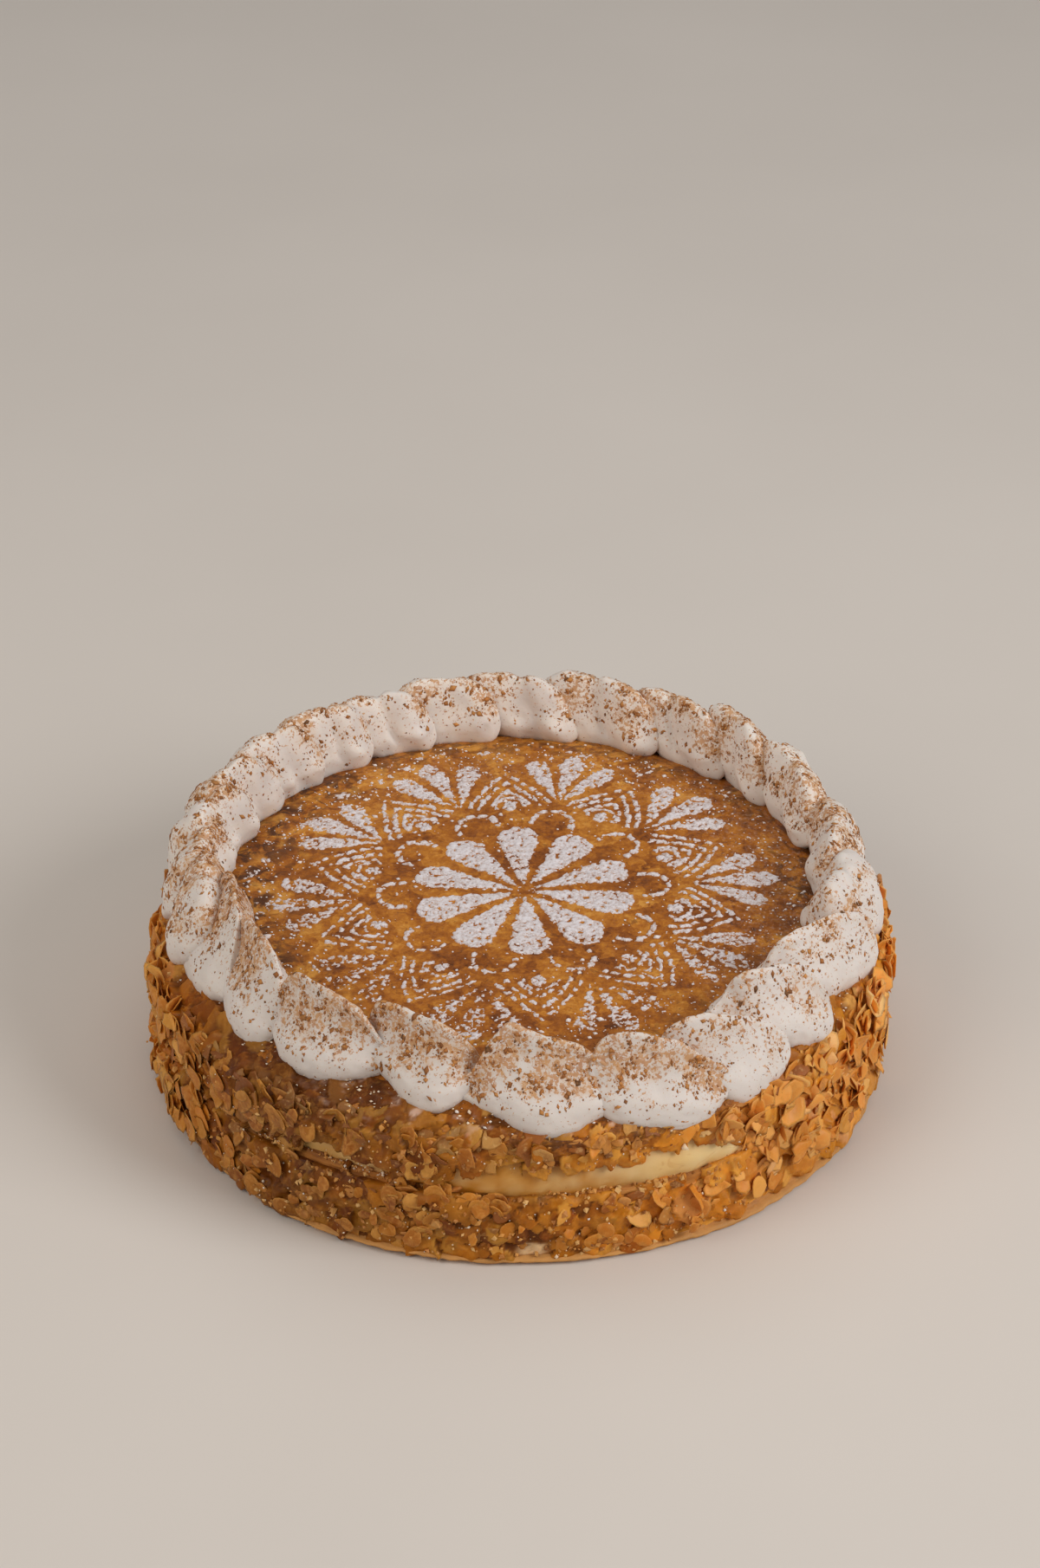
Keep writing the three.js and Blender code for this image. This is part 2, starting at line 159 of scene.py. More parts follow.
# Front dollops: ridge (degrees, radius, height) from the tail to the nose, and foot line (degrees, radius).
LOFT = {
    0: (
        ((183.0, 103.0, 66.0), (188.3, 99.8, 79.0), (197.6, 100.6, 82.0), (203.1, 102.2, 80.6), (207.2, 106.2, 75.5),
         (209.4, 110.0, 68.5), (210.4, 112.0, 62.0)),
        ((183.0, 106.5), (188.0, 113.0), (193.3, 117.0), (198.0, 117.9), (203.6, 117.3), (207.4, 115.4), (210.4, 112.6)),
    ),
    1: (
        ((202.0, 103.5, 66.0), (204.4, 101.0, 79.0), (208.4, 100.7, 81.6), (213.7, 101.8, 82.0), (217.9, 102.8, 80.6),
         (221.0, 104.0, 77.0), (223.2, 106.6, 71.0), (224.6, 108.8, 63.0)),
        ((202.0, 105.0), (206.0, 108.5), (211.5, 114.2), (217.1, 117.5), (220.1, 117.3), (222.6, 115.4), (224.6, 110.4)),
    ),
    2: (
        ((223.0, 107.5, 66.0), (225.3, 106.6, 80.0), (227.4, 105.8, 82.4), (231.1, 106.2, 82.6), (235.7, 106.6, 82.0),
         (238.5, 106.8, 81.2), (241.0, 107.4, 79.8), (243.2, 107.7, 76.6), (244.9, 107.3, 72.0), (246.4, 106.8, 66.5)),
        ((223.0, 109.0), (224.5, 111.6), (226.7, 114.4), (229.0, 116.2), (231.2, 117.0), (233.8, 116.9), (236.8, 115.9),
         (239.6, 114.2), (242.2, 111.6), (244.6, 109.0), (246.4, 107.2)),
    ),
    3: (
        ((241.8, 104.0, 68.0), (243.4, 102.6, 80.0), (244.6, 103.4, 82.3), (246.5, 103.7, 82.6), (252.5, 104.8, 82.0),
         (258.5, 107.0, 79.4), (261.2, 107.0, 75.4), (262.8, 106.0, 70.5), (264.2, 105.8, 66.0)),
        ((241.8, 105.0), (244.3, 107.0), (247.3, 109.6), (249.3, 112.8), (252.0, 116.0), (256.0, 116.9), (258.9, 114.4),
         (261.4, 110.6), (264.2, 106.4)),
    ),
    4: (
        ((259.2, 110.5, 60.5), (261.8, 110.0, 66.0), (264.5, 108.7, 75.5), (266.4, 107.3, 80.6), (268.3, 106.6, 83.0),
         (272.7, 108.5, 80.6), (279.0, 110.8, 77.8), (282.4, 112.8, 73.4), (284.8, 114.0, 68.5), (286.2, 114.4, 64.0)),
        ((259.2, 111.0), (260.6, 112.0), (263.7, 114.3), (266.9, 116.8), (270.0, 119.8), (271.9, 121.0), (273.8, 121.5),
         (278.3, 120.7), (281.2, 118.8), (284.0, 116.6), (286.2, 114.8)),
    ),
    5: (
        ((281.2, 114.0, 66.0), (283.8, 111.8, 79.0), (286.0, 113.0, 81.2), (289.3, 114.5, 80.2), (295.4, 116.8, 75.8),
         (299.4, 118.8, 69.0), (302.0, 120.0, 64.0), (303.6, 120.8, 60.0)),
        ((281.2, 115.5), (282.6, 117.2), (286.4, 120.4), (291.2, 122.8), (295.7, 124.1), (299.2, 123.7), (302.0, 122.2), (303.6, 121.2)),
    ),
    6: (
        ((294.0, 108.0, 66.0), (297.9, 110.0, 77.6), (301.8, 111.5, 78.6), (305.8, 114.2, 76.2), (310.8, 115.6, 72.6),
         (313.8, 117.3, 68.0), (315.4, 119.0, 64.0), (316.6, 120.0, 60.0)),
        ((294.0, 112.0), (298.0, 116.5), (301.8, 120.1), (304.5, 122.7), (306.8, 123.5), (309.4, 123.5), (311.8, 123.1),
         (314.2, 122.2), (316.6, 120.4)),
    ),
    7: (
        ((307.8, 99.5, 64.5), (312.1, 100.4, 73.4), (313.6, 102.2, 78.2), (316.1, 104.4, 79.8), (320.1, 107.6, 78.8),
         (323.8, 111.0, 77.4), (326.2, 114.6, 73.0), (327.2, 118.0, 67.5), (327.8, 120.6, 61.5)),
        ((307.8, 100.5), (312.0, 108.0), (316.0, 114.5), (319.4, 118.0), (321.6, 120.1), (324.4, 121.4), (326.6, 121.9), (327.8, 121.0)),
    ),
    8: (
        ((324.0, 99.0, 64.5), (327.1, 99.6, 74.5), (328.9, 101.4, 78.2), (333.1, 104.0, 78.8), (336.7, 107.0, 78.6),
         (341.9, 112.4, 77.0), (345.6, 117.8, 73.0), (347.0, 121.0, 68.5), (347.6, 122.4, 63.5)),
        ((324.0, 100.0), (328.0, 106.0), (331.0, 112.5), (333.4, 115.4), (337.0, 117.8), (340.0, 119.6), (343.0, 120.8),
         (345.8, 122.2), (347.6, 122.8)),
    ),
}
CREST_R = 110.5


def wave(a, phase):
    return (
        0.5 * np.sin(3 * a + phase)
        + 0.3 * np.sin(5 * a - 2.1 * phase)
        + 0.2 * np.sin(11 * a + 3.7 * phase)
    )


def seam_z(name, r, a):
    axis, rim, amp, phase = SEAM[name]
    return axis + (rim - axis + amp * wave(a, phase)) * r / SEAM_R


def rim_r(name, a):
    r, amp, phase = RIM[name]
    return r + amp * wave(a, phase)


# Smooth profile of the top.
_pr = np.arange(0, 130, 0.5)
_pz = np.interp(_pr, [p[0] for p in TOP_PROFILE[::-1]], [p[1] for p in TOP_PROFILE[::-1]])
_pz = np.where(_pr > 121.9, 49.4 - (_pr - 121.9) * 1.1, _pz)
_k = np.ones(9) / 9
_pz = np.concatenate([_pz[:6], np.convolve(_pz, _k, "same")[6:-6], _pz[-6:]])


def top_base(r):
    return np.interp(r, _pr, _pz)


def flake_field(x, y):
    """Torn leaf edges: a warped noise cut into terraces. Returns 0..1 terrace level and the raw noise."""
    w = N2.fbm(xyz(x / 9.0, y / 9.0, 3.1), 3)
    v = N2.fbm(xyz(x / 9.0 + 40, y / 9.0 - 12, 7.7), 3)
    n = N1.fbm(xyz((x + 7 * w) / 21.0, (y + 7 * v) / 21.0, 1.5), 4, 0.55)
    t = (n + 0.75) * 3.6
    k = np.floor(t)
    f = t - k
    return (k + smooth(0.0, 0.22, f)) / 5.0, n


def top_z(x, y):
    """Height of the finished top, with its ripple, terraces and blisters."""
    r = np.hypot(x, y)
    a = np.arctan2(y, x)
    ripple = 0.35 * np.minimum(1, r / 40) * (
        np.sin(4 * a + r * 0.05) + 0.6 * np.sin(7 * a - r * 0.09 + 1.3)
    )
    share = smooth(98, 121, r)
    level, n = flake_field(x, y)
    fine = N3.fbm(xyz(x / 5.0, y / 5.0, 2.2), 3)
    rough = mix(1.0, 2.1, smooth(92, 118, r))
    z = top_base(r) - 0.4 + (1 - share) * ripple
    z = z + rough * (0.95 * (level - 0.5) + 0.2 * fine)
    z = z + 0.35 * N4.fbm(xyz(x / 16.0, y / 16.0, 9.0), 2)
    return z


# ------------------------------------------------------------------ mesh writing
def write_mesh(name, co, faces, material, smooth_faces=True, attrs=None, colors=None):
    co = np.asarray(co, float)
    if not isinstance(faces, (list, tuple)):
        faces = [faces]
    faces = [np.asarray(f, np.int32) for f in faces if len(f)]
    loops = np.concatenate([f.ravel() for f in faces]).astype(np.int32)
    sizes = np.concatenate([np.full(len(f), f.shape[1], np.int32) for f in faces])
    starts = np.concatenate([[0], np.cumsum(sizes)[:-1]]).astype(np.int32)
    me = bpy.data.meshes.new(name)
    me.vertices.add(len(co))
    me.vertices.foreach_set("co", (co * MM).astype(np.float32).ravel())
    me.loops.add(len(loops))
    me.loops.foreach_set("vertex_index", loops)
    me.polygons.add(len(starts))
    me.polygons.foreach_set("loop_start", starts)
    me.update(calc_edges=True)
    me.polygons.foreach_set("use_smooth", np.full(len(starts), smooth_faces, bool))
    for key, values in (attrs or {}).items():
        at = me.attributes.new(key, "FLOAT", "POINT")
        at.data.foreach_set("value", np.asarray(values, np.float32).ravel())
    for key, values in (colors or {}).items():
        at = me.attributes.new(key, "FLOAT_COLOR", "POINT")
        rgba = np.ones((len(co), 4), np.float32)
        rgba[:, :3] = values
        at.data.foreach_set("color", rgba.ravel())
    me.materials.append(material)
    me.update()
    ob = bpy.data.objects.new(name, me)
    bpy.context.scene.collection.objects.link(ob)
    return ob


def settle(ob, slot, *nodes):
    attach(ob, "root")
    if nodes:
        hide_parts(*nodes)
    return ob


def grid_faces(rows, cols):
    """Quads of rows x cols points, closed round the columns."""
    i = np.arange(rows - 1)[:, None] * cols
    j = np.arange(cols)[None, :]
    k = (j + 1) % cols
    return np.stack(
        [i + j, i + k, i + cols + k, i + cols + j], -1
    ).reshape(-1, 4)


def ring_solid(rows):
    """rows: list of (n, 3) rings from the underside's middle to the top's middle, each closed.
    Adds a centre point below and above. Returns points and faces facing out."""
    n = len(rows[0])
    co = np.concatenate(rows + [rows[0].mean(0)[None], rows[-1].mean(0)[None]])
    quads = grid_faces(len(rows), n)
    lo, hi = len(rows) * n, len(rows) * n + 1
    j = np.arange(n)
    k = (j + 1) % n
    under = np.stack([np.full(n, lo), k, j], -1)
    last = (len(rows) - 1) * n
    over = np.stack([np.full(n, hi), last + j, last + k], -1)
    return co, [quads, under, over]


# ------------------------------------------------------------------ materials
class Tree:
    """Small helper that adds shader nodes."""

    def __init__(self, name):
        self.mat = bpy.data.materials.new(name)
        self.mat.use_nodes = True
        self.nt = self.mat.node_tree
        self.nt.nodes.clear()
        self.out = self.nt.nodes.new("ShaderNodeOutputMaterial")
        self.bsdf = self.nt.nodes.new("ShaderNodeBsdfPrincipled")
        self.nt.links.new(self.bsdf.outputs[0], self.out.inputs[0])
        self._co = None

    def put(self, socket, value):
        if isinstance(value, bpy.types.NodeSocket):
            self.nt.links.new(value, socket)
        elif isinstance(value, (tuple, list)) and len(value) == 3 and socket.type == "RGBA":
            socket.default_value = (*value, 1.0)
        else:
            socket.default_value = value

    def co(self):
        if self._co is None:
            self._co = self.nt.nodes.new("ShaderNodeTexCoord").outputs["Object"]
        return self._co

    def noise(self, scale, detail=3.0, rough=0.55, distortion=0.0, vector=None):
        n = self.nt.nodes.new("ShaderNodeTexNoise")
        self.put(n.inputs["Vector"], vector or self.co())
        n.inputs["Scale"].default_value = scale
        n.inputs["Detail"].default_value = detail
        n.inputs["Roughness"].default_value = rough
        n.inputs["Distortion"].default_value = distortion
        return n.outputs["Fac"]

    def voronoi(self, scale, feature="F1", out="Distance", randomness=1.0, vector=None):
        n = self.nt.nodes.new("ShaderNodeTexVoronoi")
        n.feature = feature
        self.put(n.inputs["Vector"], vector or self.co())
        n.inputs["Scale"].default_value = scale
        n.inputs["Randomness"].default_value = randomness
        return n.outputs[out]

    def warped(self, scale, amount, detail=3.0):
        """Object coordinates pushed about by a colour noise."""
        n = self.nt.nodes.new("ShaderNodeTexNoise")
        self.put(n.inputs["Vector"], self.co())
        n.inputs["Scale"].default_value = scale
        n.inputs["Detail"].default_value = detail
        a = self.nt.nodes.new("ShaderNodeVectorMath")
        a.operation = "MULTIPLY_ADD"
        self.put(a.inputs[0], n.outputs["Color"])
        a.inputs[1].default_value = (amount, amount, amount)
        self.put(a.inputs[2], self.co())
        return a.outputs[0]

    def stretch(self, sx, sy, sz):
        n = self.nt.nodes.new("ShaderNodeMapping")
        self.put(n.inputs["Vector"], self.co())
        n.inputs["Scale"].default_value = (sx, sy, sz)
        return n.outputs[0]

    def attr(self, name, out="Fac"):
        n = self.nt.nodes.new("ShaderNodeAttribute")
        n.attribute_name = name
        return n.outputs[out]

    def math(self, op, a, b=0.0, clamp=False):
        n = self.nt.nodes.new("ShaderNodeMath")
        n.operation = op
        n.use_clamp = clamp
        self.put(n.inputs[0], a)
        self.put(n.inputs[1], b)
        return n.outputs[0]

    def span(self, v, a, b, lo=0.0, hi=1.0, kind="SMOOTHSTEP"):
        n = self.nt.nodes.new("ShaderNodeMapRange")
        n.interpolation_type = kind
        self.put(n.inputs["Value"], v)
        for key, val in (("From Min", a), ("From Max", b), ("To Min", lo), ("To Max", hi)):
            self.put(n.inputs[key], val)
        return n.outputs[0]

    def ramp(self, v, *stops):
        n = self.nt.nodes.new("ShaderNodeValToRGB")
        self.put(n.inputs[0], v)
        e = n.color_ramp.elements
        while len(e) < len(stops):
            e.new(0.5)
        for el, (pos, col) in zip(e, stops):
            el.position = pos
            el.color = (*col, 1.0)
        return n.outputs[0]

    def blend(self, fac, a, b, mode="MIX"):
        n = self.nt.nodes.new("ShaderNodeMix")
        n.data_type = "RGBA"
        n.blend_type = mode
        n.clamp_factor = True
        self.put(n.inputs[0], fac)
        self.put(n.inputs[6], a)
        self.put(n.inputs[7], b)
        return n.outputs[2]

    def bump(self, height, strength=0.4, distance=0.0005, under=None):
        n = self.nt.nodes.new("ShaderNodeBump")
        n.inputs["Strength"].default_value = strength
        n.inputs["Distance"].default_value = distance
        self.put(n.inputs["Height"], height)
        if under is not None:
            self.put(n.inputs["Normal"], under)
        return n.outputs[0]

    def done(self, color, rough, normal=None, **plain):
        self.put(self.bsdf.inputs["Base Color"], color)
        self.put(self.bsdf.inputs["Roughness"], rough)
        if normal is not None:
            self.put(self.bsdf.inputs["Normal"], normal)
        for key, val in plain.items():
            self.bsdf.inputs[key.replace("_", " ")].default_value = val
        return self.mat


def caramel_material():
    t = Tree("caramelised_top")
    level = t.attr("level")
    edge = t.attr("scorch_and_shade")
    broad = t.noise(38, 4, 0.6, 0.6)
    mid = t.noise(130, 5, 0.62, 0.6)
    fine = t.noise(520, 4, 0.65, 0.2)
    leaf_a = t.voronoi(105, out="Color", vector=t.warped(140, 0.010, 5))
    leaf_b = t.voronoi(260, out="Color", vector=t.warped(330, 0.0045, 5))
    v = t.math("ADD", t.math("MULTIPLY", broad, 0.22), t.math("MULTIPLY", mid, 0.25))
    v = t.math("ADD", v, t.math("MULTIPLY", leaf_a, 0.17))
    v = t.math("ADD", v, t.math("MULTIPLY", leaf_b, 0.15))
    v = t.math("ADD", v, t.math("MULTIPLY", t.math("SUBTRACT", level, 0.5), 0.10))
    v = t.math("ADD", v, t.math("MULTIPLY", t.math("SUBTRACT", fine, 0.5), 0.38))
    colour = t.ramp(
        v,
        (0.20, (0.095, 0.024, 0.002)),
        (0.27, (0.205, 0.055, 0.004)),
        (0.335, (0.290, 0.084, 0.006)),
        (0.40, (0.392, 0.126, 0.010)),
        (0.48, (0.508, 0.188, 0.018)),
        (0.58, (0.675, 0.312, 0.052)),
    )
    # scorched rim, and painted shade near the foot of the cream at the back
    scorch_and_shade_mix = t.math("MULTIPLY", edge, t.span(t.noise(170, 4, 0.62, 0.8), 0.44, 0.60))
    colour = t.blend(scorch_and_shade_mix, colour, (0.095, 0.030, 0.007))
    spots = t.span(t.noise(260, 3, 0.6, 0.6), 0.60, 0.68)
    colour = t.blend(t.math("MULTIPLY", spots, 0.55), colour, (0.15, 0.046, 0.009))
    haze = t.math("MULTIPLY", t.attr("haze"), t.span(t.noise(800, 3, 0.7), 0.48, 0.70))
    colour = t.blend(haze, colour, (0.80, 0.70, 0.66))
    rough = t.span(mid, 0.30, 0.75, 0.38, 0.56)
    bump = t.bump(t.noise(600, 4, 0.65), 0.5, 0.0006, t.bump(leaf_a, 0.35, 0.0010, t.bump(mid, 0.4, 0.0016)))
    return t.done(colour, rough, bump, Specular_IOR_Level=0.22)


def pastry_material():
    t = Tree("flaky_side")
    lam = t.noise(60, 4, 0.6, 0.4, t.stretch(0.55, 0.55, 9.0))
    mid = t.noise(150, 4, 0.6, 0.5)
    v = t.math("ADD", t.math("MULTIPLY", lam, 0.55), t.math("MULTIPLY", mid, 0.45))
    colour = t.ramp(
        v,
        (0.30, (0.150, 0.045, 0.007)),
        (0.43, (0.330, 0.115, 0.018)),
        (0.55, (0.520, 0.205, 0.038)),
        (0.70, (0.700, 0.360, 0.100)),
    )
    colour = t.blend(t.attr("pale"), colour, (0.74, 0.42, 0.14))
    bump = t.bump(lam, 0.6, 0.0012, t.bump(t.noise(800, 3, 0.6), 0.4, 0.0004))
    return t.done(colour, t.span(mid, 0.3, 0.7, 0.5, 0.72), bump, Specular_IOR_Level=0.35)


def custard_material():
    t = Tree("custard")
    slow = t.noise(45, 3, 0.5, 0.5)
    smear = t.noise(90, 3, 0.55, 0.8, t.stretch(1, 1, 2.2))
    colour = t.ramp(
        slow,
        (0.32, (0.78, 0.505, 0.180)),
        (0.52, (0.83, 0.595, 0.265)),
        (0.70, (0.87, 0.680, 0.365)),
    )
    # browned glaze, partly painted shade
    colour = t.blend(t.attr("amber_and_shade"), colour, (0.52, 0.210, 0.016))
    browned = t.math("MULTIPLY", t.span(smear, 0.56, 0.72), 0.50)
    colour = t.blend(browned, colour, (0.56, 0.240, 0.045))
    bump = t.bump(t.noise(260, 3, 0.5), 0.25, 0.0006)
    return t.done(
        colour, t.span(slow, 0.3, 0.7, 0.34, 0.46), bump,
        Subsurface_Weight=0.12, Subsurface_Scale=0.004, Subsurface_Radius=(1.0, 0.6, 0.3),
        Specular_IOR_Level=0.45,
    )


def cream_material():
    t = Tree("whipped_cream")
    slow = t.noise(70, 3, 0.5)
    colour = t.ramp(
        slow, (0.30, (0.715, 0.655, 0.610)), (0.70, (0.755, 0.705, 0.670))
    )
    # painted light: paler cream on the back dollops
    colour = t.blend(t.attr("painted_back_light"), colour, (0.900, 0.842, 0.778))
    dust = t.attr("dust")
    fine = t.noise(760, 3, 0.70)
    cover = t.span(t.math("ADD", fine, t.math("MULTIPLY", dust, 0.185)), 0.625, 0.70)
    tone = t.ramp(
        t.noise(260, 2, 0.5), (0.35, (0.44, 0.165, 0.035)), (0.65, (0.62, 0.300, 0.098))
    )
    colour = t.blend(t.math("MULTIPLY", cover, 0.80), colour, tone)
    wash = t.math("MULTIPLY", t.span(dust, 0.20, 0.95), t.span(t.noise(210, 5, 0.68), 0.36, 0.62))
    colour = t.blend(t.math("MULTIPLY", wash, 0.40), colour, (0.62, 0.335, 0.120))
    bump = t.bump(t.noise(620, 4, 0.6), 0.22, 0.0004)
    return t.done(
        colour, t.span(slow, 0.3, 0.7, 0.50, 0.62), bump,
        Subsurface_Weight=0.16, Subsurface_Scale=0.005, Subsurface_Radius=(1.0, 0.72, 0.5),
        Specular_IOR_Level=0.35,
    )


def almond_material():
    t = Tree("almond_flake")
    tint = t.attr("tint", "Color")
    grain = t.noise(420, 3, 0.6, 0.6)
    toast = t.noise(210, 5, 0.66, 0.6)
    colour = t.blend(t.span(grain, 0.40, 0.72, 0.0, 0.40), tint, (0.80, 0.40, 0.095))
    colour = t.blend(t.span(toast, 0.50, 0.74, 0.0, 0.42), colour, (0.36, 0.115, 0.010))
    # painted highlight along the flake rims
    colour = t.blend(t.math("MULTIPLY", t.attr("edge"), 0.20), colour, (0.88, 0.48, 0.13))
    bump = t.bump(grain, 0.3, 0.0004)
    return t.done(
        colour, t.span(toast, 0.3, 0.7, 0.40, 0.58), bump,
        Specular_IOR_Level=0.28, Subsurface_Weight=0.18, Subsurface_Scale=0.0020,
        Subsurface_Radius=(0.8, 0.6, 0.35),
    )


def crust_flake_material():
    t = Tree("pastry_flake")
    tint = t.attr("tint", "Color")
    mottle = t.noise(260, 4, 0.62, 0.5)
    colour = t.blend(t.span(mottle, 0.42, 0.72, 0.0, 0.7), tint, (0.26, 0.085, 0.014))
    colour = t.blend(t.span(t.noise(520, 2, 0.5), 0.56, 0.74, 0.0, 0.4), colour, (0.78, 0.50, 0.20))
    bump = t.bump(t.noise(700, 4, 0.6), 0.4, 0.0005)
    return t.done(
        colour, t.span(mottle, 0.3, 0.7, 0.42, 0.62), bump,
        Specular_IOR_Level=0.4, Subsurface_Weight=0.08, Subsurface_Scale=0.0015,
        Subsurface_Radius=(1.0, 0.45, 0.15),
    )


def coat_material():
    t = Tree("flake_coat")
    tint = t.attr("tint", "Color")
    grain = t.noise(420, 3, 0.6, 0.6)
    toast = t.noise(170, 4, 0.6, 0.4)
    colour = t.blend(t.span(grain, 0.45, 0.80, 0.0, 0.30), tint, (0.74, 0.34, 0.065))
    colour = t.blend(t.span(toast, 0.50, 0.72, 0.0, 0.45), colour, (0.24, 0.072, 0.007))
    # painted shade: darker in the recesses of the coat
    colour = t.blend(t.math("MULTIPLY", t.span(t.attr("painted_recess_shade"), 0.05, 0.8), 0.66), colour, (0.14, 0.038, 0.003))
    bump = t.bump(t.noise(700, 4, 0.6), 0.35, 0.0004, t.bump(grain, 0.3, 0.0006))
    return t.done(
        colour, t.span(toast, 0.3, 0.7, 0.34, 0.54), bump,
        Specular_IOR_Level=0.17, Subsurface_Weight=0.10, Subsurface_Scale=0.0018,
        Subsurface_Radius=(1.0, 0.5, 0.2),
    )


def grain_material(name, spread, rough=0.75):
    t = Tree(name)
    tint = t.attr("tint", "Color")
    colour = t.blend(t.span(t.noise(1100, 2, 0.6), 0.35, 0.7, 0.0, 0.5), tint, spread)
    return t.done(colour, t.span(t.noise(800, 2, 0.5), 0.3, 0.7, rough - 0.1, rough + 0.1))


def sugar_material():
    t = Tree("icing_sugar")
    clump = t.noise(800, 4, 0.65)
    colour = t.ramp(
        clump, (0.32, (0.58, 0.48, 0.46)), (0.50, (0.77, 0.738, 0.772)), (0.68, (0.85, 0.832, 0.882))
    )
    thin = t.attr("thin")
    colour = t.blend(
        t.math("MULTIPLY", thin, t.span(t.noise(1300, 2, 0.6), 0.40, 0.64)), colour, (0.46, 0.25, 0.13)
    )
    bump = t.bump(t.noise(1500, 3, 0.7), 0.7, 0.0005)
    return t.done(colour, t.span(clump, 0.3, 0.7, 0.78, 0.95), bump, Specular_IOR_Level=0.2)


def floor_material():
    t = Tree("studio_floor")
    n = t.noise(3.0, 4, 0.5)
    colour = t.ramp(n, (0.3, (0.68, 0.645, 0.605)), (0.7, (0.72, 0.685, 0.645)))
    return t.done(colour, t.span(n, 0.3, 0.7, 0.80, 0.90), Specular_IOR_Level=0.2)


M_CARAMEL = caramel_material()
M_PASTRY = pastry_material()
M_CUSTARD = custard_material()
M_CREAM = cream_material()
M_ALMOND = almond_material()
M_FLAKE = crust_flake_material()
M_COAT = coat_material()
M_CRUMB = grain_material("crumb", (0.66, 0.36, 0.12))
M_COCOA = grain_material("cocoa_speck", (0.38, 0.175, 0.062))
M_SUGAR = sugar_material()
M_BITS = grain_material("sugar_bit", (0.90, 0.85, 0.82))

# ------------------------------------------------------------------ pastry and custard layers
NA = 448
ang = np.arange(NA) * TAU / NA
CA, SA = np.cos(ang), np.sin(ang)


def ring(r, z):
    r = np.broadcast_to(np.asarray(r, float), ang.shape)
    z = np.broadcast_to(np.asarray(z, float), ang.shape)
    return np.stack([r * CA, r * SA, z], -1)


def laminated(r0, low, high, count, depth, seed, round_low, round_high):
    """Rings up a flaky side: thin leaves that stick out by different amounts along the rim."""
    rows = []
    for k in range(count):
        t = k / (count - 1)
        z = mix(low, high, t)
        leaf = np.floor(z / 1.15 + 0.35 * N1.at(xyz(CA * 9, SA * 9, seed)))
        jut = N2.fbm(xyz(CA * 16 + leaf * 5.3, SA * 16 - leaf * 3.1, seed + leaf * 0.77), 3)
        edge = 0.55 * np.sin((z / 1.15) * TAU + 3 * N3.at(xyz(CA * 7, SA * 7, seed + 4)))
        tuck = round_low * (1 - smooth(0, 0.25, t)) + round_high * smooth(0.72, 1, t)
        rows.append(ring(r0 - tuck + depth * (jut + 0.25 * edge), z))
    return rows


# Middle disc.
a = ang
r_mid = rim_r("pastry_middle", a)
lo, hi = seam_z("lower", r_mid, a) + 0.1, seam_z("middle", r_mid, a) + 0.3
rows = [ring(20, 15.1), ring(90, seam_z("lower", 90, a) + 0.1)]
rows += laminated(r_mid + 0.2, lo, hi, 15, 1.1, 3.3, 2.0, 1.2)
for r in (r_mid - 3.2, r_mid - 5.5, r_mid - 8, r_mid - 12, 90 + 0 * a, 20 + 0 * a):
    rows.append(ring(r, seam_z("middle", r, a) - 0.1 + 0.3 * N3.fbm(xyz(r * CA / 4, r * SA / 4, 5.0), 3)))
co, faces = ring_solid(rows)
settle(
    write_mesh("middle_pastry", co, faces, M_PASTRY, attrs={"pale": np.zeros(len(co))}),
    "pastry", "pastry_middle",
)

# Bottom disc: flat underneath, with a thin pale lip that curls up at the rim.
r_bot = rim_r("pastry_bottom", a)
r_lip = 125.5 + 0.7 * wave(a, 0.2) + 1.5 * N2.fbm(xyz(CA * 18, SA * 18, 8.1), 5, 0.7)
lift = 0.5 * (0.75 + 0.25 * wave(a, 2.7)) + 0.4 * N3.fbm(xyz(CA * 14, SA * 14, 2.0), 3)
lift = lift + 0.8 * arc(a, 196, 284, 12)
r_lip = r_lip + 1.3 * arc(a, 204, 258, 12) + 1.0 * arc(a, 298, 350, 10)
lift = np.maximum(lift, 0.05)
top_b = seam_z("bottom", r_bot, a) - 0.1
rows = [ring(20, 0.0), ring(80, 0.0), ring(112, 0.0), ring(116.5, 0.0)]
pale = [0.3] * 4
for t, back, high in (
    (0.00, 1.6, 0.00), (0.08, 0.5, 0.06), (0.16, 0.1, 0.13), (0.30, 0.0, 0.20), (0.42, 0.35, 0.28),
    (0.55, 1.4, 0.35), (0.68, 2.6, 0.46), (0.80, 3.4, 0.62), (0.90, 4.0, 0.82), (1.0, 5.0, 1.0),
):
    wob = 0.8 * N2.fbm(xyz(CA * 30, SA * 30, 3 + 6 * t), 4, 0.65)
    rows.append(ring(r_lip - back + wob, mix(lift, top_b, high)))
    pale.append(float(np.interp(high, [0, 0.3, 0.55, 1.0], [0.30, 0.52, 0.25, 0.0])))
rows += [ring(r_bot - 11, seam_z("bottom", 112, a) - 0.1), ring(60, seam_z("bottom", 60, a) - 0.1), ring(20, 6.9)]
pale += [0.0] * 3
co, faces = ring_solid(rows)
settle(
    write_mesh(
        "bottom_pastry", co, faces, M_PASTRY,
        attrs={"pale": np.concatenate([np.repeat(pale, NA), [0.3, 0.0]])},
    ),
    "pastry", "pastry_bottom",
)


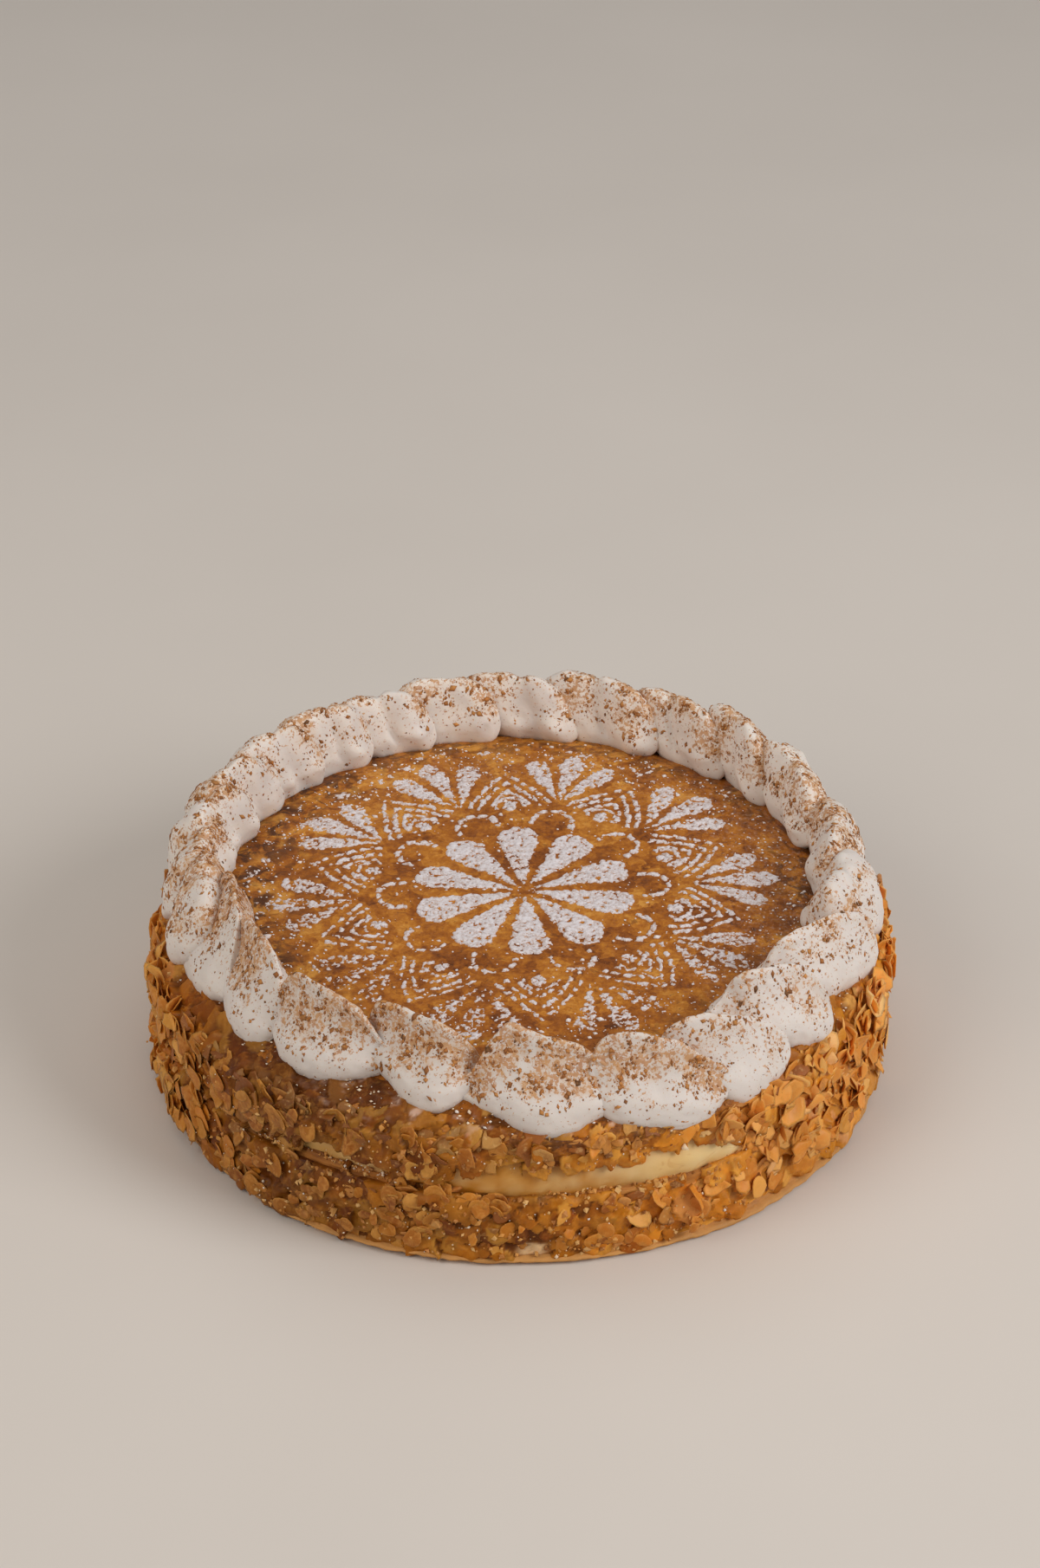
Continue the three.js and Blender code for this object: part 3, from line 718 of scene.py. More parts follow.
def custard(name, rim, under, over, bulge, node, swell=None, droop=0.0):
    r0 = rim_r(rim, a)
    lo, hi = seam_z(under, r0, a) - 0.2, seam_z(over, r0, a) + 0.2
    rows = [ring(20, seam_z(under, 20, a) + 0.1), ring(90, seam_z(under, 90, a) + 0.1)]
    for k in range(15):
        t = k / 14
        puff = bulge * (1 - (2 * t - 0.9) ** 2)
        if swell is not None:
            puff = puff + swell * np.exp(-(((t - 0.36) / 0.34) ** 2))
        z = mix(lo, hi, t) - droop * (1 - smooth(0.0, 0.45, t))
        n = 0.60 * N4.fbm(xyz(CA * 12, SA * 12, z / 9.0), 3) + 0.40 * N2.fbm(xyz(CA * 30, SA * 30, z / 3.4), 2)
        rows.append(ring(r0 + puff + n, z))
    rows += [ring(90, seam_z(over, 90, a) - 0.1), ring(20, seam_z(over, 20, a) - 0.1)]
    co, faces = ring_solid(rows)
    th = np.arctan2(co[:, 1], co[:, 0])
    high = smooth(np.repeat(0.5, len(co)), 1, (co[:, 2] - lo.mean()) / (hi.mean() - lo.mean()))
    # darker amber except on the lit right and more towards the top: partly browned glaze, partly painted shade; paler
    # in one stretch at the left
    amber_and_shade = 0.98 * (1 - arc(th, 288, 352, 11)) * (0.78 + 0.22 * wave(th, 1.0)) + 0.35 * high
    amber_and_shade = amber_and_shade - 0.40 * arc(th, 227, 250, 4)
    amber_and_shade = amber_and_shade * (1.0 + 0.90 * N1.fbm(co / 8.0, 3))
    return settle(
        write_mesh(name, co, faces, M_CUSTARD, attrs={"amber_and_shade": np.clip(amber_and_shade, 0, 1)}), "custard", node
    )


custard("lower_custard", "custard_lower", "bottom", "lower", 1.4, "custard_lower")
custard(
    "upper_custard", "custard_upper", "middle", "upper", 1.2, "custard_upper",
    swell=1.9 * arc(a, 258, 316, 7) + 0.7 * arc(a, 60, 84, 6) + 0.6 * arc(a, 150, 170, 6),
    droop=1.8 * arc(a, 256, 314, 6),
)

# Top disc: flaky side, drooping shoulder, blistered caramelised plateau.
r_top = rim_r("pastry_top", a)
lo = seam_z("upper", r_top, a) - 0.1
rows = [ring(20, seam_z("upper", 20, a) + 0.1), ring(90, seam_z("upper", 90, a) + 0.1)]
rows += laminated(r_top + 0.4, lo, np.full(NA, 48.6), 8, 1.2, 6.6, 2.2, 0.0)
n_side = len(rows)
radii = np.concatenate([[121.2, 120.4], np.arange(119.4, 100, -1.3), np.arange(100, 12, -1.2), [9, 6, 3]])
for r in radii:
    push = (r_top - 122.0) * smooth(98, 121.9, r)
    rr = r + push
    rows.append(ring(rr, top_z(rr * CA, rr * SA)))
co, faces = ring_solid(rows)
co[-1, 2] = top_z(0.0, 0.0)
rr = np.hypot(co[:, 0], co[:, 1])
lev = flake_field(co[:, 0], co[:, 1])[0]
th = np.arctan2(co[:, 1], co[:, 0])
scorch_and_shade = smooth(74, 100, rr) * (0.75 + 0.6 * N4.fbm(xyz(co[:, 0] / 24, co[:, 1] / 24, 1.0), 2))
# lighter at the back, darker towards the left
scorch_and_shade = scorch_and_shade * (1 - 0.65 * arc(th, 20, 140, 20)) + 0.55 * arc(th, 135, 225, 25) * smooth(58, 94, rr)
# painted shade: a darker band by the foot of the cream at the back
scorch_and_shade = scorch_and_shade + 0.40 * smooth(89, 97, rr) * arc(th, 10, 170, 20)
gilt = smooth(0.02, 0.30, N5.fbm(xyz(co[:, 0] / 11, co[:, 1] / 11, 3.0), 3)) * arc(th, 130, 250, 20) * smooth(60, 84, rr)
lev = lev + 1.1 * gilt
scorch_and_shade = scorch_and_shade * (1 - 0.8 * gilt)
haze = 0.02 + 0.03 * smooth(112, 121, rr) + smooth(58, 86, rr) * (0.14 * arc(th, 322, 52, 20) + 0.06 * arc(th, 60, 128, 16))
lev = lev + 0.45 * arc(th, 44, 136, 24) * smooth(46, 84, rr)
settle(
    write_mesh(
        "top_pastry", co, faces, M_CARAMEL,
        attrs={"level": lev, "scorch_and_shade": np.clip(scorch_and_shade, 0, 1), "haze": haze},
    ),
    "caramel", "pastry_top",
)


# ------------------------------------------------------------------ piped cream
def uneven(i, k):
    v = math.sin(i * 12.9898 + k * 78.233) * 43758.5453
    return 2 * (v - math.floor(v)) - 1


def closed_curve(points, n):
    """n points of a closed smooth curve through the given points (Catmull-Rom)."""
    p = np.asarray(points, float)
    m = len(p)
    u = np.arange(n) * m / n
    k = np.floor(u).astype(int)
    f = (u - k)[:, None]
    p0, p1, p2, p3 = (p[(k + d) % m] for d in (-1, 0, 1, 2))
    return 0.5 * (
        2 * p1 + (p2 - p0) * f + (2 * p0 - 5 * p1 + 4 * p2 - p3) * f**2
        + (3 * p1 - p0 - 3 * p2 + p3) * f**3
    )


# Cross-sections, outwards and upwards from the seat: full and low for the nose and for round
# tails, a tall fin for the raised tails at the front.
BELL = (
    (10.0, -0.9), (13.0, 2.2), (13.6, 6.2), (11.9, 11.2), (8.8, 16.4), (5.0, 21.0), (0.4, 24.0),
    (-4.6, 23.8), (-9.0, 18.8), (-11.8, 11.8), (-12.3, 5.6), (-10.0, -0.9), (0.0, -1.2),
)
FIN = (
    (7.6, -0.9), (10.0, 3.4), (9.9, 8.4), (8.2, 13.6), (5.8, 18.8), (2.6, 23.4), (-1.4, 25.8),
    (-4.8, 23.2), (-7.2, 16.8), (-9.2, 9.8), (-9.6, 4.6), (-7.6, -0.9), (0.0, -1.2),
)
# The front ones: a sloping outer face up to a crisp ridge, steep behind it.
WEDGE = (
    (9.6, -0.9), (13.1, 1.6), (14.1, 5.0), (12.6, 8.4), (8.9, 10.9), (5.0, 14.2), (1.6, 18.8), (-1.8, 24.2),
    (-4.6, 24.4), (-7.6, 18.0), (-10.2, 10.4), (-10.8, 4.8), (-8.6, -0.9), (0.0, -1.2),
)
NU, NV = 44, 48


def eased(x, y, at):
    """Smooth curve through points without overshoot."""
    x, y = np.asarray(x, float), np.asarray(y, float)
    h = np.diff(x)
    d = np.diff(y) / h
    m = np.zeros(len(x))
    same = d[:-1] * d[1:] > 0
    w1, w2 = 2 * h[1:] + h[:-1], h[1:] + 2 * h[:-1]
    safe = np.where(same, d[:-1], 1.0), np.where(same, d[1:], 1.0)
    m[1:-1] = np.where(same, (w1 + w2) / (w1 / safe[0] + w2 / safe[1]), 0)
    m[0], m[-1] = d[0], d[-1]
    k = np.clip(np.searchsorted(x, at, "right") - 1, 0, len(h) - 1)
    f = (at - x[k]) / h[k]
    return (
        y[k] * (1 + 2 * f) * (1 - f) ** 2 + m[k] * h[k] * f * (1 - f) ** 2
        + y[k + 1] * f**2 * (3 - 2 * f) - m[k + 1] * h[k] * f**2 * (1 - f)
    )


LU, LV = 62, 68


def lofted(i):
    """A front dollop: face sloping from a crisp ridge to a rounded lip, steep behind the ridge."""
    ridge, foot = LOFT[i]
    lo, hi = ridge[0][0], ridge[-1][0]

    def turn(deg):
        return np.arccos(np.clip(1 - 2 * (np.asarray(deg) - lo) / (hi - lo), -1, 1)) / math.pi

    v = 0.004 + 0.992 * np.arange(LU) / (LU - 1)
    deg = lo + (hi - lo) * (0.5 - 0.5 * np.cos(math.pi * v))
    rv, fv = turn([q[0] for q in ridge]), turn([q[0] for q in foot])
    rr, rz = eased(rv, [q[1] for q in ridge], v), eased(rv, [q[2] for q in ridge], v)
    fr = eased(fv, [q[1] for q in foot], v)
    k = i * 5.3
    wob = N3.fbm(xyz(deg * 0.30 + k, 0.0, k), 3)
    # how open the section is: none at the tail's end and at the nose's tip
    grown = (1 - np.clip(1 - v / 0.22, 0, 1) ** 2.2) ** (1 / 2.2) * (1 - np.clip(1 - (1 - v) / 0.30, 0, 1) ** 2.2) ** (1 / 2.2)
    rz = rz + 0.8 * wob * grown
    tip_z = mix(ridge[0][2], ridge[-1][2], v)
    fz = mix(tip_z, top_base(fr) - 0.5, (1 - np.clip(1 - v / 0.14, 0, 1) ** 2) ** 0.5 * (1 - np.clip(1 - (1 - v) / 0.24, 0, 1) ** 2) ** 0.5)
    inner = rr - (7.4 + 0.8 * N2.fbm(xyz(deg * 0.2, 3.0, k), 2)) * grown
    iz = mix(tip_z, top_base(inner) - 0.5, grown)
    o, R, I = (np.stack(q, -1) for q in ((fr, fz), (rr, rz), (inner, iz)))
    ch = R - o
    ln = np.linalg.norm(ch, axis=1)[:, None] + 1e-6
    no = np.stack([ch[:, 1], -ch[:, 0]], -1) / ln
    ci = R - I
    li = np.linalg.norm(ci, axis=1)[:, None] + 1e-6
    ni = np.stack([-ci[:, 1], ci[:, 0]], -1) / li
    g = np.minimum(ln / 26.0, 1.0)
    faced = float(np.interp(i, [0, 1, 2, 3, 4, 5, 6, 7, 8], [0.55, 0.6, 1.0, 1.0, 0.95, 0.9, 0.6, 0.5, 0.4]))
    keys = [
        o + g * np.array([-1.4, -0.9]),
        o + ch * 0.035 + no * g * 1.0,
        o + ch * 0.14 + no * g * 2.5,
        o + ch * 0.28 + no * g * mix(3.1, 2.8, faced),
        o + ch * 0.44 + no * g * mix(3.1, 0.9, faced),
        o + ch * 0.63 + no * g * mix(2.7, -0.5, faced),
        o + ch * 0.83 + no * g * mix(1.8, -0.5, faced),
        R + g * np.array([0.7, -0.8]),
        R + g * np.array([-0.9, -0.1]),
        I + ci * 0.72 + ni * g * 1.0,
        I + ci * 0.42 + ni * g * 1.9,
        I + ci * 0.14 + ni * g * 1.6,
        I + g * np.array([0.8, -0.9]),
        0.5 * (o + I) - g * np.array([0.0, 1.2]),
    ]
    share = np.array([0, 0.04, 0.14, 0.29, 0.46, 0.64, 0.83, 0.97, 1.0, 0.8, 0.5, 0.2, 0.0, 0.0])
    keys = np.stack(keys, 1)
    m = keys.shape[1]
    u = np.arange(LV) * m / LV
    kk = np.floor(u).astype(int)
    f = (u - kk)[None, :, None]
    p0, p1, p2, p3 = (keys[:, (kk + d) % m] for d in (-1, 0, 1, 2))
    sec = 0.5 * (2 * p1 + (p2 - p0) * f + (2 * p0 - 5 * p1 + 4 * p2 - p3) * f**2 + (3 * p1 - p0 - 3 * p2 + p3) * f**3)
    fs = f[0, :, 0]
    part = share[kk] * (1 - fs) + share[(kk + 1) % m] * fs
    th = np.radians(deg)[:, None]
    p = np.stack([sec[..., 0] * np.cos(th), sec[..., 0] * np.sin(th), sec[..., 1]], -1)
    du = np.gradient(p, axis=0)
    dv = np.roll(p, -1, 1) - np.roll(p, 1, 1)
    n = np.cross(du, dv)
    n /= np.linalg.norm(n, axis=2)[..., None] + 1e-9
    centre = p.mean(1, keepdims=True)
    n *= np.sign(np.sum(n * (p - centre), 2).mean() + 1e-9)
    lump = 0.85 * N1.fbm(p / 11.0 + k, 3)
    ruck = 0.40 * N5.fbm(p / 4.6 + k, 2)
    line = np.stack(np.broadcast_arrays(9.0 * part[None] + k, 0.06 * (deg[:, None] - lo), 3.0 + 0 * part[None]), -1)
    drag = 0.42 * N2.fbm(line, 2) * smooth(0.4, 0.8, part)[None]
    fine = 0.22 * N4.fbm(p / 1.9 + k, 2)
    p = p + n * ((lump + ruck + drag + fine) * (0.25 + 0.75 * grown[:, None]))[..., None]
    pr_ = np.hypot(p[..., 0], p[..., 1])
    p[..., 2] = np.maximum(p[..., 2], top_base(pr_) - 1.2)
    co, faces = ring_solid([q for q in p])
    if np.mean(np.sum(np.cross(co[faces[0][:, 1]] - co[faces[0][:, 0]], co[faces[0][:, 3]] - co[faces[0][:, 0]]) *
                      (co[faces[0][:, 0]] - co.mean(0)), 1)) < 0:
        faces = [f[:, ::-1] for f in faces]
    t = 1 - (deg - lo) / (hi - lo)
    return co, faces, np.concatenate([np.repeat(t, LV), [1.0, 0.0]]), np.concatenate([np.tile(part, LU), [0.5, 0.5]])


def dollop(i):
    """Rounded nose at the outer edge, swept clockwise and inwards to a tail."""
    deg = HEAD_DEG[i] % 360
    gap = ((HEAD_DEG[i] - HEAD_DEG[i - 1]) % 360) * CREST_R * math.pi / 180
    fin = float(
        np.interp(deg, [0, 15, 180, 205, 222, 240, 300, 340, 360], [0.3, 0.1, 0.15, 0.5, 0.8, 1.0, 1.0, 0.6, 0.3])
    )
    size = 1 + 0.08 * uneven(i, 1)
    far = float(np.interp(deg, [0, 20, 40, 150, 172, 186], [0.0, 0.6, 1.0, 1.0, 0.6, 0.0]))
    high = 1.0 + 0.05 * uneven(i, 5) + 0.155 * far
    q = np.linspace(0, 1, NU)
    t = 0.5 - 0.5 * np.cos(math.pi * np.clip(q * 0.985 + 0.008, 0, 1))
    t = t[:, None]
    end_at = -max(16.0, gap - 15.0 + 8.0)
    peak_at, tail_r = 0.72 * end_at, 108.0
    lead = mix(16.0, 20.0, fin) + 2.6 * far
    tp = (lead - peak_at) / (lead - end_at)
    tail = np.clip((1 - t) / (mix(0.36, 1.02 - tp, fin)), 0, 1)
    back = (1 - (1 - tail) ** 2.2) ** (1 / 2.2)
    # the nose narrows sooner in plan than in height
    cap = (1 - (1 - np.clip(t / 0.42, 0, 1)) ** 2.3) ** (1 / 2.3) * back
    thin = (1 - (1 - np.clip(t / mix(0.46, 0.60, fin), 0, 1)) ** 1.9) ** (1 / 1.9) * back
    sw = t * t * (3 - 2 * t)
    bell, finned = closed_curve(BELL, NV)[None], closed_curve(FIN, NV)[None]
    faced = float(np.interp(deg, [0, 210, 228, 296, 312, 360], [0.0, 0.4, 1.0, 1.0, 0.45, 0.0])) * fin
    bell = mix(bell, closed_curve(WEDGE, NV)[None], faced)
    end = mix(bell * np.array([0.82, 0.94]), finned, fin)
    sec = mix(bell, end, sw[..., None])
    rho, zeta = sec[..., 0] * size, sec[..., 1] * size * high
    rho = np.where(rho < 0, rho * (1 - 0.27 * far), rho)
    hub = mix(float(np.interp(deg, [0, 180, 205, 245, 280, 310, 350], [10, 10, 12, 15.5, 13, 10, 10])), mix(11.0, 16.0, fin), sw)
    rho = rho * thin * mix(1.0, mix(1.0, 0.86, sw), fin)
    zeta = hub + (zeta - hub) * cap
    ph = np.arctan2(zeta - 10.0, rho)
    # raised tip of a finned tail, rounded inner lobes of a plain one
    crest = np.exp(-(((ph - 1.80) / 0.55) ** 2))
    peak = np.exp(-(((t - tp) / 0.09) ** 2)) * crest
    zeta = zeta + fin**2 * ((0.9 + 0.7 * uneven(i, 6)) * peak - 2.6 * (1 - smooth(0.15, tp, t)) * crest * cap)
    turn = np.abs((ph - 3.45 + math.pi) % TAU - math.pi)
    for k, (mid_t, wide, much) in enumerate(((0.66, 0.16, 2.3), (0.32, 0.13, 1.5))):
        lobe = np.exp(-(((t - mid_t - 0.06 * uneven(i, 7 + k)) / wide) ** 2)) * np.exp(-((turn / 0.75) ** 2))
        rho = rho - (1 - fin) * much * (1 + 0.6 * uneven(i, 11 + k)) * lobe
    # a fold across the body of some
    fold = 0.55 + 0.12 * uneven(i, 15)
    groove = np.exp(-(((t - fold - 0.0012 * rho * 10) / 0.045) ** 2)) * smooth(2, 10, zeta)
    depth = (1 - fin) * (1.3 + 1.1 * uneven(i, 16)) * groove
    rho = rho * (1 - 0.10 * depth)
    zeta = zeta - 0.9 * depth
    along = mix(lead, end_at, t) + (1 - fin) * (0.34 + 0.12 * uneven(i, 17)) * rho
    along = along + far * (0.34 + 0.16 * uneven(i, 18)) * (zeta - 12)
    mid = mix(112.6 + OUT[i], tail_r, sw) + 1.0 * far
    mid = mid + 1.3 * np.exp(-(((t - 0.44) / 0.2) ** 2))
    ta = math.radians(HEAD_DEG[i]) + along / CREST_R + 0 * rho
    r = mid + rho
    low = 1 - smooth(0, 17, zeta)
    seat = mix(top_base(mid) + 0 * rho, top_base(np.minimum(r, 123.5)), 0.85 * low)
    z = seat - 0.4 + zeta
    p = np.stack([r * np.cos(ta), r * np.sin(ta), z], -1)
    k = i * 3.7
    lump = mix(1.9, 0.9, fin) * N1.fbm(p / mix(10.0, 13.0, fin) + k, 3)
    ruck = mix(0.7, 0.45, fin) * N5.fbm(p / 5.0 + k, 2)
    line = np.stack([3.2 * np.cos(ph), 3.2 * np.sin(ph), 0.5 * t + k + 0 * ph], -1)
    drag = mix(0.3, 0.9, smooth(0.3, 0.9, t)) * (0.75 * N2.fbm(line, 2) + 0.3 * N3.at(line * 2.9))
    fine = mix(0.16, 0.24, fin) * N4.fbm(p / 1.9 + k, 2)
    push = (lump + ruck + drag + fine) * np.sqrt(np.clip(cap, 0, 1))
    r = r + push * np.cos(ph)
    z = z + push * np.sin(ph)
    z = np.maximum(z, top_base(r) - 1.0)
    p = np.stack([r * np.cos(ta), r * np.sin(ta), z], -1)
    co, faces = ring_solid([p[k] for k in range(NU)])
    return co, faces, np.concatenate([np.repeat(t[:, 0], NV), [0.0, 1.0]]), None


def normals_of(ob):
    n = np.zeros(len(ob.data.vertices) * 3, np.float32)
    ob.data.vertices.foreach_get("normal", n)
    return n.reshape(-1, 3).astype(float)


def triangles(faces):
    return np.concatenate(
        [np.concatenate([f[:, [0, 1, 2]], f[:, [0, 2, 3]]]) if f.shape[1] == 4 else f for f in faces]
    )


shapes = [lofted(i) if i in LOFT else dollop(i) for i in range(len(HEAD_DEG))]
trees = [BVHTree.FromPolygons(q[0].tolist(), triangles(q[1]).tolist()) for q in shapes]
dollops = []
for i, (co, faces, t, part) in enumerate(shapes):
    ob = write_mesh("cream_dollop_%02d" % (i + 1), co, faces, M_CREAM)
    nor = normals_of(ob)
    r = np.hypot(co[:, 0], co[:, 1])
    up = co[:, 2] - top_base(r)
    near = np.full(len(co), 9.0)
    for k in (i - 1, (i + 1) % len(shapes)):
        for j, p in enumerate(co):
            d = trees[k].find_nearest(Vector(p), 6.0)[3]
            if d is not None and d < near[j]:
                near[j] = d
    crease = 1 - smooth(0.5, 4.5, near)
    patch = N3.fbm(co / 11.0, 3)
    if part is None:
        dust = smooth(-0.25, 0.70, nor[:, 2]) * (0.54 + 1.45 * patch + 0.16 * uneven(i, 9))
        dust = dust + 0.25 * smooth(0.55, 0.92, t) * smooth(-0.2, 0.5, nor[:, 2])
        dust = dust + 0.40 * crease * smooth(-0.25, 0.4, nor[:, 2]) * smooth(8, 16, up)
        if i > 19:
            streak = N4.fbm(np.stack([co[:, 0] / 2.4, co[:, 1] / 2.4, co[:, 2] / 10.0], -1), 2)
            dust = (dust * 1.15 + 0.22 * smooth(-0.1, 0.5, streak)) * mix(0.35, 1.0, smooth(8, 17, up))
        dust = dust * smooth(3.5, 12.0, up) * (1 + 0.28 * float(np.interp(HEAD_DEG[i] % 360, [8, 22, 66, 84], [0, 1, 1, 0])))
    else:
        much = float(np.interp(i, [0, 1, 2, 3, 4, 5, 6, 7, 8], [1.1, 1.12, 1.12, 1.24, 1.78, 1.15, 0.70, 0.70, 0.70]))
        fall = N4.fbm(np.stack([co[:, 0] / 2.6, co[:, 1] / 2.6, co[:, 2] / 11.0], -1), 2)
        dust = smooth(0.10, 0.74, part + 0.22 * patch + 0.10 * fall) * (0.70 + 0.95 * patch + 0.6 * fall) * much
        if i < 2:
            dust = dust * mix(0.22, 2.5, smooth(0.20, 0.54, t)) + 0.75 * smooth(0.46, 0.74, t) * smooth(8, 14, up) * (0.75 + 1.4 * fall)
        dust = dust + 0.20 * crease * smooth(9, 16, up)
    dust = np.clip(dust, 0, 1)
    at = ob.data.attributes.new("dust", "FLOAT", "POINT")
    at.data.foreach_set("value", dust.astype(np.float32))
    # painted light: the back dollops are made paler in patches so that they read brighter
    far = np.interp(HEAD_DEG[i] % 360, [0, 25, 160, 200, 225, 300, 345, 360], [0.35, 1.0, 1.0, 0.45, 0.1, 0.0, 0.15, 0.35])
    at = ob.data.attributes.new("painted_back_light", "FLOAT", "POINT")
    at.data.foreach_set("value", (far * smooth(mix(-0.6, -1.4, np.interp(HEAD_DEG[i] % 360, [8, 22, 66, 84], [0, 1, 1, 0])), 0.4, patch)).astype(np.float32))
    settle(ob, "cream", "cream_%02d" % (i + 1))
    dollops.append((ob, co, faces, dust, nor))

# One search tree over the whole border, for placing what lies on it.
_v, _f, _base = [], [], 0
for ob, co, faces, dust, nor in dollops:
    _v.append(co)
    for f in faces:
        if f.shape[1] == 4:
            _f.append(np.concatenate([f[:, [0, 1, 2]], f[:, [0, 2, 3]]]) + _base)
        else:
            _f.append(f + _base)
    _base += len(co)
cream_v = np.concatenate(_v)
cream_f = np.concatenate(_f)
cream_dust = np.concatenate([d[3] for d in dollops])
cream_n = np.concatenate([d[4] for d in dollops])
cream_tree = BVHTree.FromPolygons(cream_v.tolist(), cream_f.tolist())


# ------------------------------------------------------------------ scattered toppings
def frames(normal, spin):
    """Rotation matrices whose third column is the normal, turned about it by spin."""
    n = normal / np.linalg.norm(normal, axis=1)[:, None]
    ref = np.where(np.abs(n[:, 2:3]) > 0.9, np.array([[1.0, 0, 0]]), np.array([[0, 0, 1.0]]))
    v = ref - n * np.sum(ref * n, 1)[:, None]
    v /= np.linalg.norm(v, axis=1)[:, None]
    u = np.cross(v, n)
    c, s = np.cos(spin)[:, None], np.sin(spin)[:, None]
    return np.stack([v * c + u * s, u * c - v * s, n], -1)


def leaves(outline, bend, thick, at, rot):
    """Thin curved leaves. outline (F, N, 2), bend (F, 3), thick (F,), at (F, 3), rot (F, 3, 3)."""
    f, n = outline.shape[:2]

    def sheet(uv):
        z = (
            bend[:, None, 0] * uv[..., 0] ** 2
            + bend[:, None, 1] * uv[..., 1] ** 2
            + bend[:, None, 2] * uv[..., 0] * uv[..., 1]
        )
        return np.concatenate([uv, z[..., None]], -1)

    rim = sheet(outline)
    inner = sheet(outline * 0.84)
    centre = sheet(outline.mean(1, keepdims=True) * 0.5)
    drop = np.zeros((f, 1, 3))
    drop[..., 2] = thick[:, None]
    edge = rim - drop * 0.35
    low = sheet(outline * 0.93) - drop
    cen = centre - drop
    local = np.concatenate([centre, inner, edge, low, cen], 1)
    local[..., 2] += np.concatenate(
        [np.zeros((f, 1)), np.zeros((f, n)), np.zeros((f, n)), np.zeros((f, n)), np.zeros((f, 1))], 1
    )
    world = np.einsum("fij,fkj->fki", rot, local) + at[:, None]
    m = 3 * n + 2
    j = np.arange(n)
    k = (j + 1) % n
    one = np.full(n, 0)
    tri = np.concatenate(
        [
            np.stack([one, 1 + j, 1 + k], -1),
            np.stack([one + 3 * n + 1, 1 + 2 * n + k, 1 + 2 * n + j], -1),
        ]
    )
    quad = np.concatenate(
        [
            np.stack([1 + j, 1 + n + j, 1 + n + k, 1 + k], -1),
            np.stack([1 + n + j, 1 + 2 * n + j, 1 + 2 * n + k, 1 + n + k], -1),
        ]
    )
    off = (np.arange(f) * m)[:, None, None]
    # rim marks for a painted highlight along the flake edges
    rim_highlight_mark = np.tile(np.concatenate([[0.0], np.full(n, 0.25), np.ones(n), np.ones(n), [0.0]]), f)
    return (
        world.reshape(-1, 3),
        [(tri[None] + off).reshape(-1, 3), (quad[None] + off).reshape(-1, 4)],
        rim_highlight_mark,
        m,
    )


OCT_V = np.array([(1, 0, 0), (0, 1, 0), (-1, 0, 0), (0, -1, 0), (0, 0, 1), (0, 0, -1)], float)
OCT_F = np.array(
    [(0, 1, 4), (1, 2, 4), (2, 3, 4), (3, 0, 4), (1, 0, 5), (2, 1, 5), (3, 2, 5), (0, 3, 5)]
)


def grains(r, at, rot, size, verts, tris, rough=0.3):
    """Small irregular lumps: size (F, 3) half-extents in the local frame."""
    f = len(at)
    jig = 1 + rough * r.uniform(-1, 1, (f, len(verts), 1))
    local = verts[None] * jig * size[:, None]
    world = np.einsum("fij,fkj->fki", rot, local) + at[:, None]
    off = (np.arange(f) * len(verts))[:, None, None]
    return world.reshape(-1, 3), (tris[None] + off).reshape(-1, 3)


def per_leaf(values, m):
    return np.repeat(values, m, 0)


def pick(r, n, palette, weights, spread=0.08):
    p = np.array(palette)[r.choice(len(palette), n, p=np.array(weights) / sum(weights))]
    return np.clip(p * (1 + spread * r.normal(size=(n, 1))), 0, 1)


def tilted(normal, r, lean, sag):
    """Turns normals by a random lean (radians); sag tips their face downwards (+) or upwards (-)."""
    n = normal + lean * r.normal(size=normal.shape)
    n[:, 2] -= sag
    return n / np.linalg.norm(n, axis=1)[:, None]


def side_radius(z, th):
    """Where the coat of flakes lies, from the foot to the rim of the top."""
    base = np.interp(
        z, [0, 4, 9, 15, 22, 27, 30, 34, 39, 44, 48, 51],
        [123.4, 124.2, 122.6, 122.6, 123.2, 123.0, 121.6, 121.6, 123.0, 123.8, 122.8, 120.6],
    )
    return base + 0.9 * wave(th, 2.0) + 0.5 * np.sin(2 * th + 0.7)


def bare(z, th):
    """1 where the coat is open and custard or pastry shows."""
    n = N5.fbm(xyz(np.cos(th) * 9, np.sin(th) * 9, z / 9), 3)
    top = 36.8 + 6 * n + 3.0 * arc(th, 290, 301, 5) - 7.5 * arc(th, 305, 330, 4)
    win = arc(th, 259, 307, 2.0) * smooth(25.7 + 1.6 * n, 26.5 + 1.6 * n, z) * (1 - smooth(top - 1.2, top + 1.2, z))
    torn = smooth(-0.12, 0.04, N4.fbm(xyz(np.cos(th) * 17, np.sin(th) * 17, 9.0 + 0 * z), 2) + 0.10)
    low = arc(th, 235, 250, 2) * smooth(29.0, 30.0, z) * (1 - smooth(36.6 + 4 * n, 37.8 + 4 * n, z))
    gap = arc(th, 192, 256, 4) * smooth(25.6, 26.4, z) * (1 - smooth(30.6 + 5 * n, 31.8 + 5 * n, z)) * torn
    b1 = arc(th, 60, 84, 3) * smooth(28.4, 29.6, z) * (1 - smooth(35 + 3 * n, 37 + 3 * n, z))
    b2 = arc(th, 150, 170, 3) * smooth(28.4, 29.6, z) * (1 - smooth(34 + 3 * n, 36 + 3 * n, z))
    return np.clip(win + low + gap + b1 + b2, 0, 1)


def tone_and_painted_shading_at(th):
    """The coat is darker round the left front and lighter at the right: partly the flakes' own colour, partly painted
    shade away from the key light and painted light on the side facing it.
    """
    deg = np.degrees(th) % 360
    return np.interp(
        deg, [0, 60, 180, 205, 232, 262, 284, 300, 320, 345, 360],
        [1.12, 1.0, 0.94, 0.75, 0.355, 0.63, 0.91, 0.92, 1.02, 1.14, 1.14],
    )


